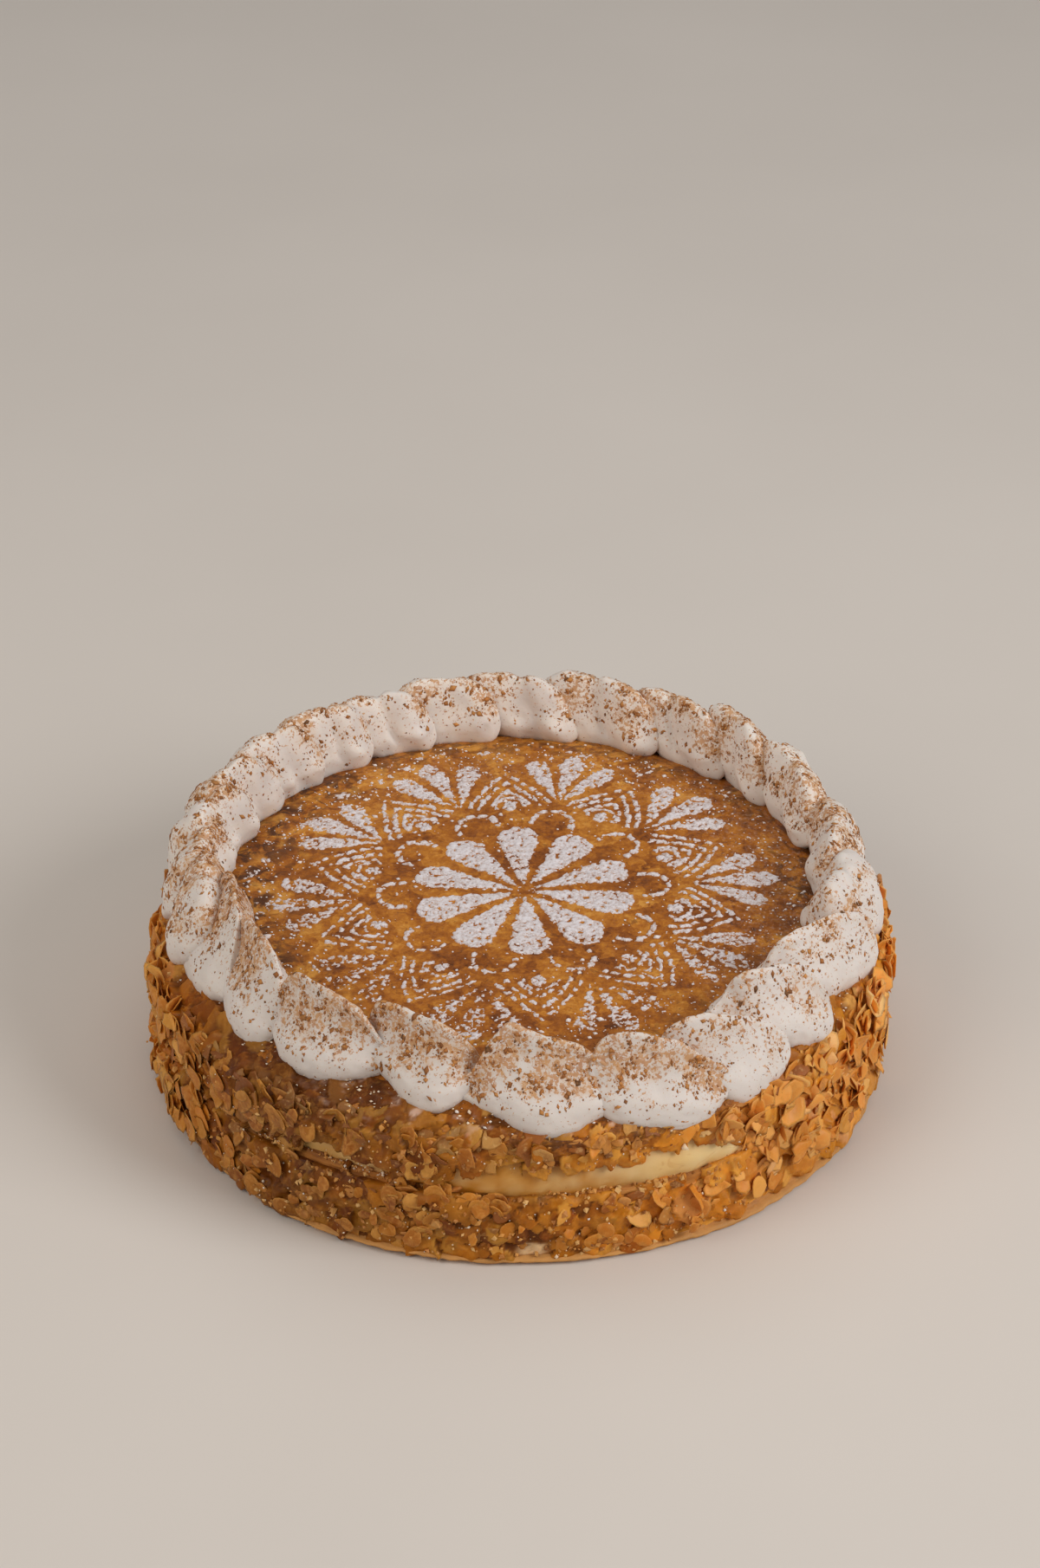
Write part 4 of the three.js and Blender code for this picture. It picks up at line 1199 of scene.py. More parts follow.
GOLD = (
    (0.54, 0.200, 0.024), (0.66, 0.275, 0.040), (0.45, 0.148, 0.012), (0.74, 0.380, 0.100), (0.33, 0.096, 0.008),
    (0.62, 0.285, 0.105), (0.60, 0.230, 0.014),
)
GOLD_SHARE = (26, 25, 16, 13, 6, 5, 9)

# The coat runs up the side and over the shoulder: (radius, height) pairs, then a grid along them.
PROFILE = np.array(
    [(123.4, 1.7), (124.3, 3.3), (124.1, 8.6), (123.5, 15.0), (123.4, 21.0), (123.0, 24.5), (121.3, 27.2),
     (121.2, 30.0), (122.4, 34.0), (123.4, 40.0), (123.0, 45.0), (121.6, 48.4)]
    + [(r, float(top_base(r)) + 0.15) for r in (119.8, 117.4, 114.0, 110.0)]
)
_seg = np.concatenate([[0], np.cumsum(np.hypot(*np.diff(PROFILE, axis=0).T))])
CELL = 0.62
NS = int(_seg[-1] / CELL) + 1
ss = np.linspace(0, _seg[-1], NS)
pr, pz = np.interp(ss, _seg, PROFILE[:, 0]), np.interp(ss, _seg, PROFILE[:, 1])
_w = np.ones(7) / 7
pr = np.concatenate([pr[:3], np.convolve(pr, _w, "same")[3:-3], pr[-3:]])
pz = np.concatenate([pz[:3], np.convolve(pz, _w, "same")[3:-3], pz[-3:]])
tr, tz = np.gradient(pr), np.gradient(pz)
_l = np.hypot(tr, tz)
nr, nz = tz / _l, -tr / _l
NT = 1180
tt = np.arange(NT) * TAU / NT
RC = 123.0
GT, GS = np.meshgrid(tt, ss, indexing="xy")
GZ = np.broadcast_to(pz[:, None], GT.shape)
GR = np.broadcast_to(pr[:, None], GT.shape)
gx, gy = GR * np.cos(GT), GR * np.sin(GT)
shoulder = smooth(_seg[10] - 1.0, _seg[12], GS)
leafy = N1.fbm(xyz(gx / 7.0, gy / 7.0, GZ / 2.2), 4, 0.6)
grit = N3.fbm(xyz(gx / 1.9, gy / 1.9, GZ / 1.9), 3, 0.6)
terr = leafy * 3.4
terr = (np.floor(terr) + smooth(0.0, 0.3, terr - np.floor(terr))) / 3.4
open_ = bare(GZ, GT)
swell = N4.fbm(xyz(gx / 17.0, gy / 17.0, GZ / 10.0), 3)
patchy = N2.fbm(xyz(gx / 26.0, gy / 26.0, GZ / 14.0), 3)
H = 0.0 + 0.75 * terr + 0.45 * grit + 0.7 * shoulder * terr - 6.5 * open_
leftish = arc(GT, 188, 262, 12)
H = H + leftish * (1.9 * smooth(10, 20, GZ) * (1 - smooth(25.2, 26.6, GZ)) + 1.9 * smooth(30, 34, GZ) * (1 - smooth(37, 48, GZ)))
# painted light: the coat's base colour is lighter on the lit right side
lit = arc(GT, 292, 40, 16)
base_tint = mix(np.array((0.30, 0.095, 0.010)), np.array((0.58, 0.225, 0.024)), lit[..., None])
base_tint = base_tint * (1 + 0.6 * np.clip(leafy, -1, 1) + 0.4 * grit)[..., None]
# bare pastry over the custard at the front, pale foot at the right
plain_g = arc(GT, 256, 304, 8) * smooth(33, 36, GZ) * (1 - smooth(46, 49, GZ))
mottled = smooth(-0.25, 0.30, swell + 0.5 * leafy)[..., None]
glazed = mix(np.array((0.40, 0.130, 0.014)), np.array((0.66, 0.330, 0.075)), mottled)
base_tint = mix(base_tint, glazed * (1 + 0.35 * grit)[..., None], plain_g[..., None])
foot_g = (0.35 + 0.65 * arc(GT, 292, 350, 10)) * (1 - smooth(2.6, 5.2 + 2.6 * arc(GT, 296, 350, 8) + 3.0 * leafy, GZ))
base_tint = mix(base_tint, np.array((0.80, 0.455, 0.145)) * (1 + 0.5 * leafy + 0.4 * grit)[..., None], foot_g[..., None])
crust = np.array((0.31, 0.098, 0.008)) * (1 + 1.1 * np.clip(leafy, -0.8, 1) + 0.6 * grit)[..., None]
base_tint = mix(base_tint, crust, shoulder[..., None])
squeezed = arc(GT, 269.8, 273.8, 1.0) * smooth(3.0, 4.0, GZ) * (1 - smooth(7.0 + 3 * leafy, 8.4 + 3 * leafy, GZ))
tint_g = np.clip(base_tint, 0.01, 1)
on_flake = np.zeros(GT.shape)

ra = np.random.default_rng(801)
N_IN, N_BIG = 4200, 760
f_t = ra.uniform(0, TAU, N_IN)
f_s = ra.uniform(0.5, _seg[-1] - 3.0, N_IN)
lev = ra.beta(1.5, 1.9, N_IN)
right = arc(f_t, 300, 30, 20)
f_left = arc(f_t, 172, 258, 10)
f_l = np.clip(ra.normal(9.6, 2.2, N_IN) * (1 + 0.12 * right + 0.42 * f_left), 5.0, 18.0)
f_l = f_l * (1 - 0.20 * arc(f_t, 256, 300, 8))
f_w = f_l * ra.uniform(0.46, 0.80, N_IN)
big = np.arange(N_IN) < N_BIG
f_s[:N_BIG] = ra.uniform(_seg[5], _seg[12], N_BIG)
f_t[:300] = np.radians(ra.uniform(176, 262, 300))
f_l[:N_BIG] = ra.uniform(11.0, 18.0, N_BIG)
f_w[:N_BIG] = f_l[:N_BIG] * ra.uniform(0.40, 0.75, N_BIG)
lev[:N_BIG] = ra.uniform(0.20, 1.0, N_BIG)
f_z = np.interp(f_s, ss, pz)
f_torn = np.where(big, ra.uniform(0.25, 0.65, N_IN), np.where(ra.uniform(size=N_IN) < 0.42, ra.uniform(0.1, 0.45, N_IN), 0.0))
f_ph = ra.uniform(0, TAU, N_IN)
f_spin = np.where(
    ra.uniform(size=N_IN) < 0.45 + 0.40 * right, math.pi / 2 + ra.normal(0, 0.5, N_IN), ra.uniform(0, TAU, N_IN)
)
f_g = ra.normal(0, 1, (N_IN, 2)) * (0.19 + 0.04 * f_left)[:, None]
f_g[:, 1] -= 0.03
f_c = ra.normal(0.0, 0.018, N_IN) * (1 + 0.9 * right)
f_cut = np.where(ra.uniform(size=N_IN) < 0.35, ra.uniform(0.25, 0.8, N_IN), 9.0)
f_tint = pick(ra, N_IN, GOLD, GOLD_SHARE, 0.12)
# one large reddish leaf low at the right front
f_t[0], f_s[0], f_l[0], f_w[0], lev[0], f_spin[0] = math.radians(297), float(np.interp(16.0, pz, ss)), 17.0, 13.5, 1.15, 0.4
f_z[0], f_tint[0], f_torn[0] = 16.0, (0.66, 0.320, 0.150), 0.25
on_top = smooth(_seg[10] - 2.0, _seg[11] + 1.0, f_s)
plain = arc(f_t, 258, 302, 8) * smooth(35, 38, f_z) * (1 - smooth(47, 50, f_z))
foot = arc(f_t, 296, 350, 8) * (1 - smooth(6.0, 9.0, f_z))
dens = (1 - 0.86 * on_top) * (1 - arc(f_t, 268.5, 275.0, 1.0) * (f_z < 11)) * (1 - 0.62 * plain) * (1 - 0.85 * foot) * (1 - 0.45 * f_left * ~big)
hang = arc(f_t, 192, 256, 4)
keep = (ra.uniform(size=N_IN) < dens) & (ra.uniform(size=N_IN) > (0.99 - 0.05 * hang) * bare(f_z, f_t))
# what hangs over an opening from above may stay
core = np.minimum(open_, bare(GZ + 1.7 + 1.8 * arc(GT, 192, 234, 4), GT))
for k in np.nonzero(keep)[0]:
    reach = int(0.56 * f_l[k] / CELL) + 2
    j0 = int(f_t[k] / TAU * NT)
    i0 = int(f_s[k] / _seg[-1] * (NS - 1))
    ii = np.arange(max(0, i0 - reach), min(NS, i0 + reach + 1))
    jj = np.arange(j0 - reach, j0 + reach + 1)
    du = (jj * TAU / NT - f_t[k])[None] * RC
    dv = (ss[ii] - f_s[k])[:, None]
    c, n = math.cos(f_spin[k]), math.sin(f_spin[k])
    u, v = du * c + dv * n, -du * n + dv * c
    un, vn = u / (0.5 * f_l[k]), v / (0.5 * f_w[k])
    rho = un**2 + (vn * (1 + 0.28 * un)) ** 2
    if f_torn[k]:
        psi = np.arctan2(vn, un)
        rho = rho * (1 + f_torn[k] * (0.5 + 0.5 * np.sin(3 * psi + 2 * f_ph[k]) + 0.5 * np.sin(5 * psi + f_ph[k]) + 0.4 * np.sin(9 * psi - f_ph[k])))
    rho = np.where(un > f_cut[k], 1 + (un - f_cut[k]), rho)
    h = 0.40 + (1.9 + 0.9 * f_left[k]) * lev[k] * (1 - 0.5 * on_top[k]) + f_g[k, 0] * du + f_g[k, 1] * dv + f_c[k] * u * u - 0.30 * rho**3
    win = np.ix_(ii, jj % NT)
    h = np.where((rho < 1) & (core[win] < 0.5), h, -99)
    old = H[win]
    up = h > old
    H[win] = np.where(up, h, old)
    # painted highlight: each embossed flake is lighter towards its rim
    rim_highlight = smooth(0.66, 0.96, rho)[..., None]
    shade = mix(f_tint[k] * (1 - 0.12 * rho[..., None]), np.minimum(f_tint[k] * 1.15 + np.array((0.07, 0.035, 0.006)), 0.9), 0.55 * rim_highlight)
    tint_g[win] = np.where(up[..., None], shade, tint_g[win])
    on_flake[win] = np.where(up, 1.0, on_flake[win])


def box_blur(v, n):
    w = np.ones(n) / n
    pad = np.concatenate([v[:, -n:], v, v[:, :n]], 1)
    pad = np.apply_along_axis(lambda q: np.convolve(q, w, "same"), 1, pad)[:, n:-n]
    return np.apply_along_axis(lambda q: np.convolve(np.pad(q, n, "edge"), w, "same")[n:-n], 0, pad)


H = H + 0.10 * grit * on_flake
melt = 0.75 * smooth(-0.05, 0.22, N3.fbm(xyz(gx / 9.0 + 4, gy / 9.0, GZ / 6.0), 3)) * arc(GT, 222, 312, 14) * (1 - shoulder) * (1 - open_)
H = mix(H, box_blur(np.maximum(H, -0.6), 7) + 0.42 * grit + 0.3 * terr, melt)
soft = np.stack([box_blur(tint_g[..., q], 7) for q in range(3)], -1)
tint_g = mix(tint_g, soft * (1 + 0.45 * grit + 0.25 * leafy)[..., None], 0.8 * melt[..., None])
# painted shade: darker where the coat lies lower than its surroundings
painted_recess_shade = np.clip((box_blur(np.maximum(H, -0.6), 11) - H) / 1.1, 0, 1)
lumpy = N5.fbm(xyz(gx / 8.5, gy / 8.5, GZ / 6.5), 2)
H = H + 0.9 * swell * (1 - 0.6 * shoulder) + mix(1.0, 3.0, arc(GT, 180, 250, 18)) * lumpy * (1 - 0.7 * shoulder) * (1 - 0.6 * open_)
# the painted recess shade is weaker on the lit right and stronger at the left
painted_recess_shade = np.clip(painted_recess_shade * (1 - 0.85 * lit) * (1 + 0.4 * arc(GT, 205, 262, 10)), 0, 1)
wavy = 0.9 * wave(GT, 2.0) + 0.5 * np.sin(2 * GT + 0.7)
wavy = wavy * (1 - smooth(_seg[11], _seg[13], GS))
R = GR + nr[:, None] * H + wavy
Z = GZ + nz[:, None] * H
Z = np.maximum(Z, 1.0)
SURF = R
# custard smeared about the opening, sugar smeared on the shoulder
stain = smooth(0.02, 0.40, box_blur(open_, 13)) * (1 - open_) * arc(GT, 250, 312, 6) * smooth(-0.30, 0.25, swell + 0.6 * grit)
tint_g = mix(tint_g, np.array((0.72, 0.40, 0.115)), 0.50 * stain[..., None])
smear = smooth(0.16, 0.34, N2.fbm(xyz(gx / 6.0 + 9, gy / 6.0, GZ / 3.0), 3)) * smooth(_seg[10], _seg[12], GS) * (0.06 + 0.94 * arc(GT, 240, 292, 10))
# painted shade at the left front and painted light at the right from the side tone, with random patches
tint_g = tint_g * (tone_and_painted_shading_at(GT) * (1 + 0.55 * np.clip(patchy, -0.8, 0.8)))[..., None]
warm = (arc(GT, 150, 318, 20) * (1 - 0.55 * shoulder))[..., None]
tint_g = tint_g * mix(1.0, np.array((1.06, 0.905, 0.48)), warm)
tint_g = tint_g * mix(1.0, np.array((0.84, 0.76, 0.52)), (shoulder * arc(GT, 296, 330, 8))[..., None])
tint_g = tint_g * mix(1.0, np.array((0.88, 0.79, 0.58)), (shoulder * arc(GT, 198, 246, 10))[..., None])
tint_g = tint_g * mix(1.0, np.array((0.86, 0.82, 0.70)), arc(GT, 208, 254, 10)[..., None])
tint_g = mix(tint_g, np.array((0.74, 0.50, 0.27)) * (1 + 0.3 * grit)[..., None], squeezed[..., None])
tint_g = mix(tint_g, np.array((0.74, 0.53, 0.43)), 0.70 * (smear * (0.4 + 0.6 * smooth(-0.1, 0.3, grit)))[..., None])
tint_g = np.clip(tint_g, 0.005, 1)


def soft_limit(co, lim=126.4, room=1.6):
    """Draws in whatever sticks out too far."""
    r = np.hypot(co[:, 0], co[:, 1])
    k = np.where(r > lim, (lim + room * np.tanh((r - lim) / room)) / np.maximum(r, 1), 1.0)
    co[:, :2] *= k[:, None]
    return co


def coat_piece(name, i0, i1):
    rows = [np.stack([(R[i0] - 7) * np.cos(tt), (R[i0] - 7) * np.sin(tt), Z[i0]], -1)]
    for i in range(i0, i1):
        rows.append(np.stack([R[i] * np.cos(tt), R[i] * np.sin(tt), Z[i]], -1))
    e = i1 - 1
    rows.append(np.stack([(R[e] - 6) * np.cos(tt), (R[e] - 6) * np.sin(tt), Z[e] - 3.0], -1))
    m = len(rows)
    i = np.arange(m)[:, None]
    j = np.arange(NT)[None]
    i2, j2 = (i + 1) % m, (j + 1) % NT
    quads = np.stack([i * NT + j, i * NT + j2, i2 * NT + j2, i2 * NT + j], -1).reshape(-1, 4)
    pick_rows = [i0] + list(range(i0, i1)) + [e]
    co = soft_limit(np.concatenate(rows))
    ob = write_mesh(
        name, co, quads, M_COAT, True, {"painted_recess_shade": painted_recess_shade[pick_rows].ravel()},
        {"tint": tint_g[pick_rows].reshape(-1, 3)},
    )
    return settle(ob, "pastry")


split = int(np.argmin(np.abs(pz - 27.2)))
coat_piece("flake_coat_lower", 0, split + 2)
coat_piece("flake_coat_upper", split, NS)


def on_coat(th, z, lift):
    """Radius of the coat at an angle and height, plus lift."""
    i = np.interp(z, pz[: NS - 6], np.arange(NS - 6)).astype(int)
    j = (th / TAU * NT).astype(int) % NT
    return np.maximum(R[i, j], 121.4) + lift


# Loose almond flakes lying on the coat.
F = 540
th = ra.uniform(0, TAU, F)
th[470:] = np.radians(ra.uniform(200, 258, 70))
z = ra.uniform(4.5, 49.0, F)
th[:60] = np.radians(ra.uniform(252, 268, 60))
z[:60] = ra.normal(27.0, 1.8, 60)
near_gap = np.maximum.reduce([bare(z, th), bare(z - 3.4, th), bare(z + 3.0, th)])
near_gap[:60] = bare(z[:60], th[:60])
keep = (ra.uniform(size=F) > 0.98 * near_gap) & ((z > 10.5) | (arc(th, 298, 352, 6) < 0.5))
th, z = th[keep] % TAU, z[keep]
F = len(th)
length = np.clip(ra.normal(9.2, 1.5, F) - 1.7 * arc(th, 236, 302, 8), 5.0, 13.0)
width = length * ra.uniform(0.52, 0.80, F)
psi = np.arange(12) * TAU / 12
ox = 0.5 * length[:, None] * np.cos(psi)[None]
oy = 0.5 * width[:, None] * np.sin(psi)[None] * (1 - 0.26 * np.cos(psi)[None])
cut = ra.uniform(size=F) < 0.4
edge_at = ra.uniform(0.0, 0.36, F) * length
ox = np.where(cut[:, None] & (ox > edge_at[:, None]), edge_at[:, None] + 0.16 * (ox - edge_at[:, None]), ox)
outline = np.stack([ox, oy], -1) * (1 + 0.05 * ra.normal(size=(F, 12, 1)))
bend = ra.normal(0, 1, (F, 3)) * np.array([0.022, 0.030, 0.020])
thick = ra.uniform(0.4, 0.7, F)
out = np.stack([np.cos(th), np.sin(th), np.zeros(F)], -1)
right = arc(th, 300, 40, 20)
lie = tilted(out, ra, 0.16, ra.uniform(-0.14, 0.16, F))
spin = np.where(ra.uniform(size=F) < 0.4 + 0.3 * right, ra.normal(0, 0.6, F), ra.uniform(0, TAU, F))
rad = on_coat(th, z, ra.uniform(0.0, 0.8, F) + 0.4 * right)
at = np.stack([rad * np.cos(th), rad * np.sin(th), z], -1)
co, faces, edge, m = leaves(outline, bend, thick, at, frames(lie, spin))
co[:, 2] = np.maximum(co[:, 2], 2.2)
# the side tone paints shade at the left front and light at the right
tint = pick(ra, F, GOLD, GOLD_SHARE, 0.09) * tone_and_painted_shading_at(th)[:, None]
tint = tint * mix(1.0, np.array((1.06, 0.91, 0.56)), arc(th, 150, 318, 20)[:, None])
tint = tint * (1 + 0.40 * arc(th, 206, 256, 10))[:, None]
almonds = write_mesh(
    "almond_flakes", soft_limit(co, 126.8, 2.4), faces, M_ALMOND, True, {"edge": edge}, {"tint": per_leaf(tint, m)}
)
settle(almonds, "pastry")


def chips(outline, bend, ruffle, thick, at, rot):
    """Curled, ruffled chips. outline (F, N, 2), bend (F, 3), ruffle (F, 2), thick (F,), at (F, 3), rot (F, 3, 3)."""
    f, n = outline.shape[:2]
    psi = np.arange(n) * TAU / n

    def sheet(share, drop=0.0):
        uv = outline * share
        z = (
            bend[:, None, 0] * uv[..., 0] ** 2
            + bend[:, None, 1] * uv[..., 1] ** 2
            + bend[:, None, 2] * uv[..., 0] * uv[..., 1]
            + ruffle[:, :1] * share**3 * np.sin(3 * psi[None] + ruffle[:, 1:])
        )
        return np.concatenate([uv, (z - drop)[..., None]], -1)

    t = thick[:, None]
    mid = np.zeros((f, 1, 3))
    low = mid.copy()
    low[..., 2] = -t
    local = np.concatenate([mid, sheet(0.42), sheet(0.78), sheet(1.0, 0.4 * t), sheet(0.86, t), low], 1)
    world = np.einsum("fij,fkj->fki", rot, local) + at[:, None]
    m = 4 * n + 2
    j = np.arange(n)
    k = (j + 1) % n
    one = np.zeros(n, int)
    tri = np.concatenate([np.stack([one, 1 + j, 1 + k], -1), np.stack([one + 4 * n + 1, 1 + 3 * n + k, 1 + 3 * n + j], -1)])
    quad = np.concatenate([np.stack([1 + q * n + j, 1 + (q + 1) * n + j, 1 + (q + 1) * n + k, 1 + q * n + k], -1) for q in range(3)])
    off = (np.arange(f) * m)[:, None, None]
    # rim marks for a painted highlight along the chip edges
    mark = np.tile(np.concatenate([np.zeros(1 + n), np.full(n, 0.3), np.ones(2 * n), [0.0]]), f)
    return world.reshape(-1, 3), [(tri[None] + off).reshape(-1, 3), (quad[None] + off).reshape(-1, 4)], mark, m


# Curled chips that stick out of the coat, most of them at the right and at the left.
rq = np.random.default_rng(806)
SPREAD = ((-66, 46, 410), (168, 214, 240), (46, 166, 160), (216, 294, 80))
th = np.concatenate([np.radians(rq.uniform(a0, a1, n)) for a0, a1, n in SPREAD]) % TAU
F = len(th)
z = rq.uniform(5.5, 48.5, F)
z[:150] = rq.uniform(28, 48, 150)
keep = rq.uniform(size=F) > 0.99 * np.maximum.reduce([bare(z, th), bare(z - 3.8, th), bare(z + 3.4, th)])
keep = keep & ((z > 11.0) | (arc(th, 298, 352, 6) < 0.5))
th, z = th[keep], z[keep]
F = len(th)
side_on = arc(th, 290, 50, 12) + arc(th, 160, 216, 8)
length = np.clip(rq.normal(8.4, 1.8, F) + 1.6 * side_on - 1.9 * arc(th, 230, 304, 8), 4.6, 14.0)
psi = np.arange(12) * TAU / 12
jag = 1 + 0.16 * rq.normal(size=(F, 12))
jag = np.clip(0.5 * jag + 0.25 * np.roll(jag, 1, 1) + 0.25 * np.roll(jag, -1, 1) + 0.10 * rq.normal(size=(F, 12)), 0.55, 1.35)
outline = 0.5 * length[:, None, None] * jag[..., None] * np.stack(
    [np.tile(np.cos(psi), (F, 1)), np.sin(psi)[None] * rq.uniform(0.50, 0.95, (F, 1))], -1
)
bend = rq.normal(0, 1, (F, 3)) * np.array([0.045, 0.060, 0.045])
ruffle = np.stack([rq.normal(0, 0.55, F), rq.uniform(0, TAU, F)], -1)
thick = rq.uniform(0.35, 0.6, F)
out = np.stack([np.cos(th), np.sin(th), np.zeros(F)], -1)
lie = tilted(out, rq, 0.24, rq.uniform(-0.30, 0.20, F))
aside = np.stack([-np.sin(th), np.cos(th), np.zeros(F)], -1)
lie = lie + aside * ((0.30 + 0.22 * arc(th, 160, 216, 8)) * side_on * rq.normal(0, 1, F))[:, None]
lie /= np.linalg.norm(lie, axis=1)[:, None]
rad = on_coat(th, z, rq.uniform(-0.3, 0.6, F) + (0.5 + 0.6 * arc(th, 160, 216, 8)) * side_on * rq.uniform(0, 1, F))
at = np.stack([rad * np.cos(th), rad * np.sin(th), z], -1)
spin = np.where(rq.uniform(size=F) < 0.5 - 0.42 * arc(th, 160, 216, 8), rq.normal(0, 0.5, F), rq.uniform(0, TAU, F))
co, faces, edge, m = chips(outline, bend, ruffle, thick, at, frames(lie, spin))
co[:, 2] = np.maximum(co[:, 2], 2.6)
# the side tone paints shade at the left front and light at the right
tint = pick(
    rq, F, [(0.74, 0.325, 0.055), (0.66, 0.255, 0.028), (0.82, 0.430, 0.110), (0.56, 0.190, 0.016), (0.72, 0.305, 0.050), (0.86, 0.480, 0.175)],
    [28, 24, 18, 9, 14, 9], 0.09,
) * tone_and_painted_shading_at(th)[:, None]
tint = tint * mix(1.0, np.array((1.05, 0.905, 0.56)), arc(th, 150, 300, 20)[:, None])
tint = tint * mix(1.0, np.array((1.06, 0.965, 1.02)), arc(th, 296, 60, 15)[:, None])
chip = write_mesh(
    "curled_chips", soft_limit(co, 127.4, 3.0), faces, M_ALMOND, True, {"edge": edge}, {"tint": per_leaf(np.clip(tint, 0, 1), m)}
)
settle(chip, "pastry")

# Torn pastry flakes along the rim and the ledge.
rp = np.random.default_rng(802)
F = 420
th = rp.uniform(0, TAU, F)
where = rp.uniform(size=F)
z = np.where(where < 0.55, rp.normal(47.5, 2.2, F), np.where(where < 0.8, rp.normal(27.0, 1.6, F), rp.uniform(4, 48, F)))
z = np.clip(z, 3.5, 50.6)
keep = rp.uniform(size=F) > 0.97 * np.maximum.reduce([bare(z, th), bare(z - 2.6, th), bare(z + 2.4, th)]) * arc(th, 252, 314, 3)
th, z = th[keep], z[keep]
F = len(th)
psi = np.arange(9) * TAU / 9
rad0 = np.clip(rp.normal(3.2, 0.9, F), 1.6, 5.5)
jag = rp.uniform(0.6, 1.2, (F, 9))
outline = np.stack(
    [rad0[:, None] * jag * np.cos(psi)[None] * rp.uniform(1.0, 1.7, (F, 1)), rad0[:, None] * jag * np.sin(psi)[None]], -1
)
bend = rp.normal(0, 1, (F, 3)) * np.array([0.03, 0.04, 0.03])
thick = rp.uniform(0.3, 0.55, F)
out = np.stack([np.cos(th), np.sin(th), np.zeros(F)], -1)
up = smooth(45, 50, z)[:, None]
lie = tilted(out * (1 - 0.4 * up) + np.array([[0, 0, 0.75]]) * up, rp, 0.24, 0.0)
rad = on_coat(th, z, rp.uniform(-0.2, 0.7, F))
at = np.stack([rad * np.cos(th), rad * np.sin(th), z], -1)
co, faces, edge, m = leaves(outline, bend, thick, at, frames(lie, rp.uniform(0, TAU, F)))
co[:, 2] = np.maximum(co[:, 2], 2.2)
# the side tone paints shade at the left front and light at the right
tint = pick(
    rp, F,
    [(0.50, 0.165, 0.018), (0.62, 0.25, 0.038), (0.38, 0.112, 0.011), (0.72, 0.36, 0.085)], [34, 28, 24, 14], 0.1,
) * tone_and_painted_shading_at(th)[:, None]
shards = write_mesh("pastry_flakes", soft_limit(co, 126.0, 1.5), faces, M_FLAKE, True, None, {"tint": per_leaf(tint, m)})
settle(shards, "pastry")

# Cocoa specks on the cream.
rc = np.random.default_rng(803)
tri = cream_v[cream_f]
area_of = 0.5 * np.linalg.norm(np.cross(tri[:, 1] - tri[:, 0], tri[:, 2] - tri[:, 0]), axis=1)
dens = cream_dust[cream_f].mean(1)
clot = N5.fbm(tri.mean(1) / 4.2, 3)
weight = area_of * (0.045 + dens) * np.clip(0.34 + 2.7 * clot, 0.03, 3.4)
pickf = rc.choice(len(cream_f), 17000, p=weight / weight.sum())
b = rc.dirichlet((1, 1, 1), len(pickf))
pos = np.einsum("fk,fkj->fj", b, tri[pickf])
nor = np.einsum("fk,fkj->fj", b, cream_n[cream_f[pickf]])
nor /= np.linalg.norm(nor, axis=1)[:, None] + 1e-9
ok = []
for p, n in zip(pos, nor):
    hit = cream_tree.ray_cast(Vector(p + n * 12), Vector(-n), 20)
    ok.append(hit[0] is not None and abs(hit[3] - 12) < 0.15)
ok = np.array(ok)
pos, nor = pos[ok], nor[ok]
F = len(pos)
base = np.clip(np.exp(rc.normal(math.log(0.30), 0.56, F)), 0.12, 1.0)
size = np.stack([base * rc.uniform(0.8, 1.8, F), base * rc.uniform(0.7, 1.1, F), base * 0.42], -1)
steep = 1 - np.clip(nor[:, 2], 0, 1)
spin = np.where(rc.uniform(size=F) < steep, rc.normal(0, 0.4, F), rc.uniform(0, TAU, F))
co, faces = grains(rc, pos + nor * 0.05, frames(nor, spin), size, OCT_V, OCT_F, 0.42)
tint = pick(
    rc, F,
    [(0.40, 0.145, 0.029), (0.54, 0.235, 0.060), (0.29, 0.100, 0.020), (0.15, 0.060, 0.016)], [38, 40, 18, 4], 0.14,
)
cocoa = write_mesh("cocoa_specks", co, faces, M_COCOA, True, None, {"tint": per_leaf(tint, len(OCT_V))})
settle(cocoa, "cream")

# Crumbs on the rim, the ledge and among the flakes.
rb = np.random.default_rng(804)
F = 2300
th = rb.uniform(0, TAU, F)
th[:800] = np.radians(rb.uniform(226, 306, 800))
where = rb.uniform(size=F)
z = np.where(where < 0.30, rb.normal(27.2, 1.3, F), rb.uniform(1.5, 50.5, F))
keep = rb.uniform(size=F) > 0.85 * bare(z, th) * (z > 29.5)
th, z = th[keep], z[keep]
F = len(th)
rad = on_coat(th, z, rb.uniform(-0.3, 0.5, F))
at = np.stack([rad * np.cos(th), rad * np.sin(th), z], -1)
base = np.exp(rb.normal(math.log(0.62), 0.42, F))
nrm = rb.normal(size=(F, 3))
size = base[:, None] * rb.uniform(0.6, 1.5, (F, 3))
at[:, 2] = np.maximum(at[:, 2], size.max(1) + 2.0)
co, faces = grains(rb, at, frames(nrm, rb.uniform(0, TAU, F)), size, OCT_V, OCT_F, 0.30)
tint = pick(
    rb, F, [(0.60, 0.28, 0.06), (0.46, 0.17, 0.03), (0.72, 0.45, 0.17), (0.28, 0.095, 0.018)], [34, 30, 20, 16], 0.1
)
crumbs = write_mesh("crumbs", co, faces, M_CRUMB, False, None, {"tint": per_leaf(tint, len(OCT_V))})
settle(crumbs, "pastry")


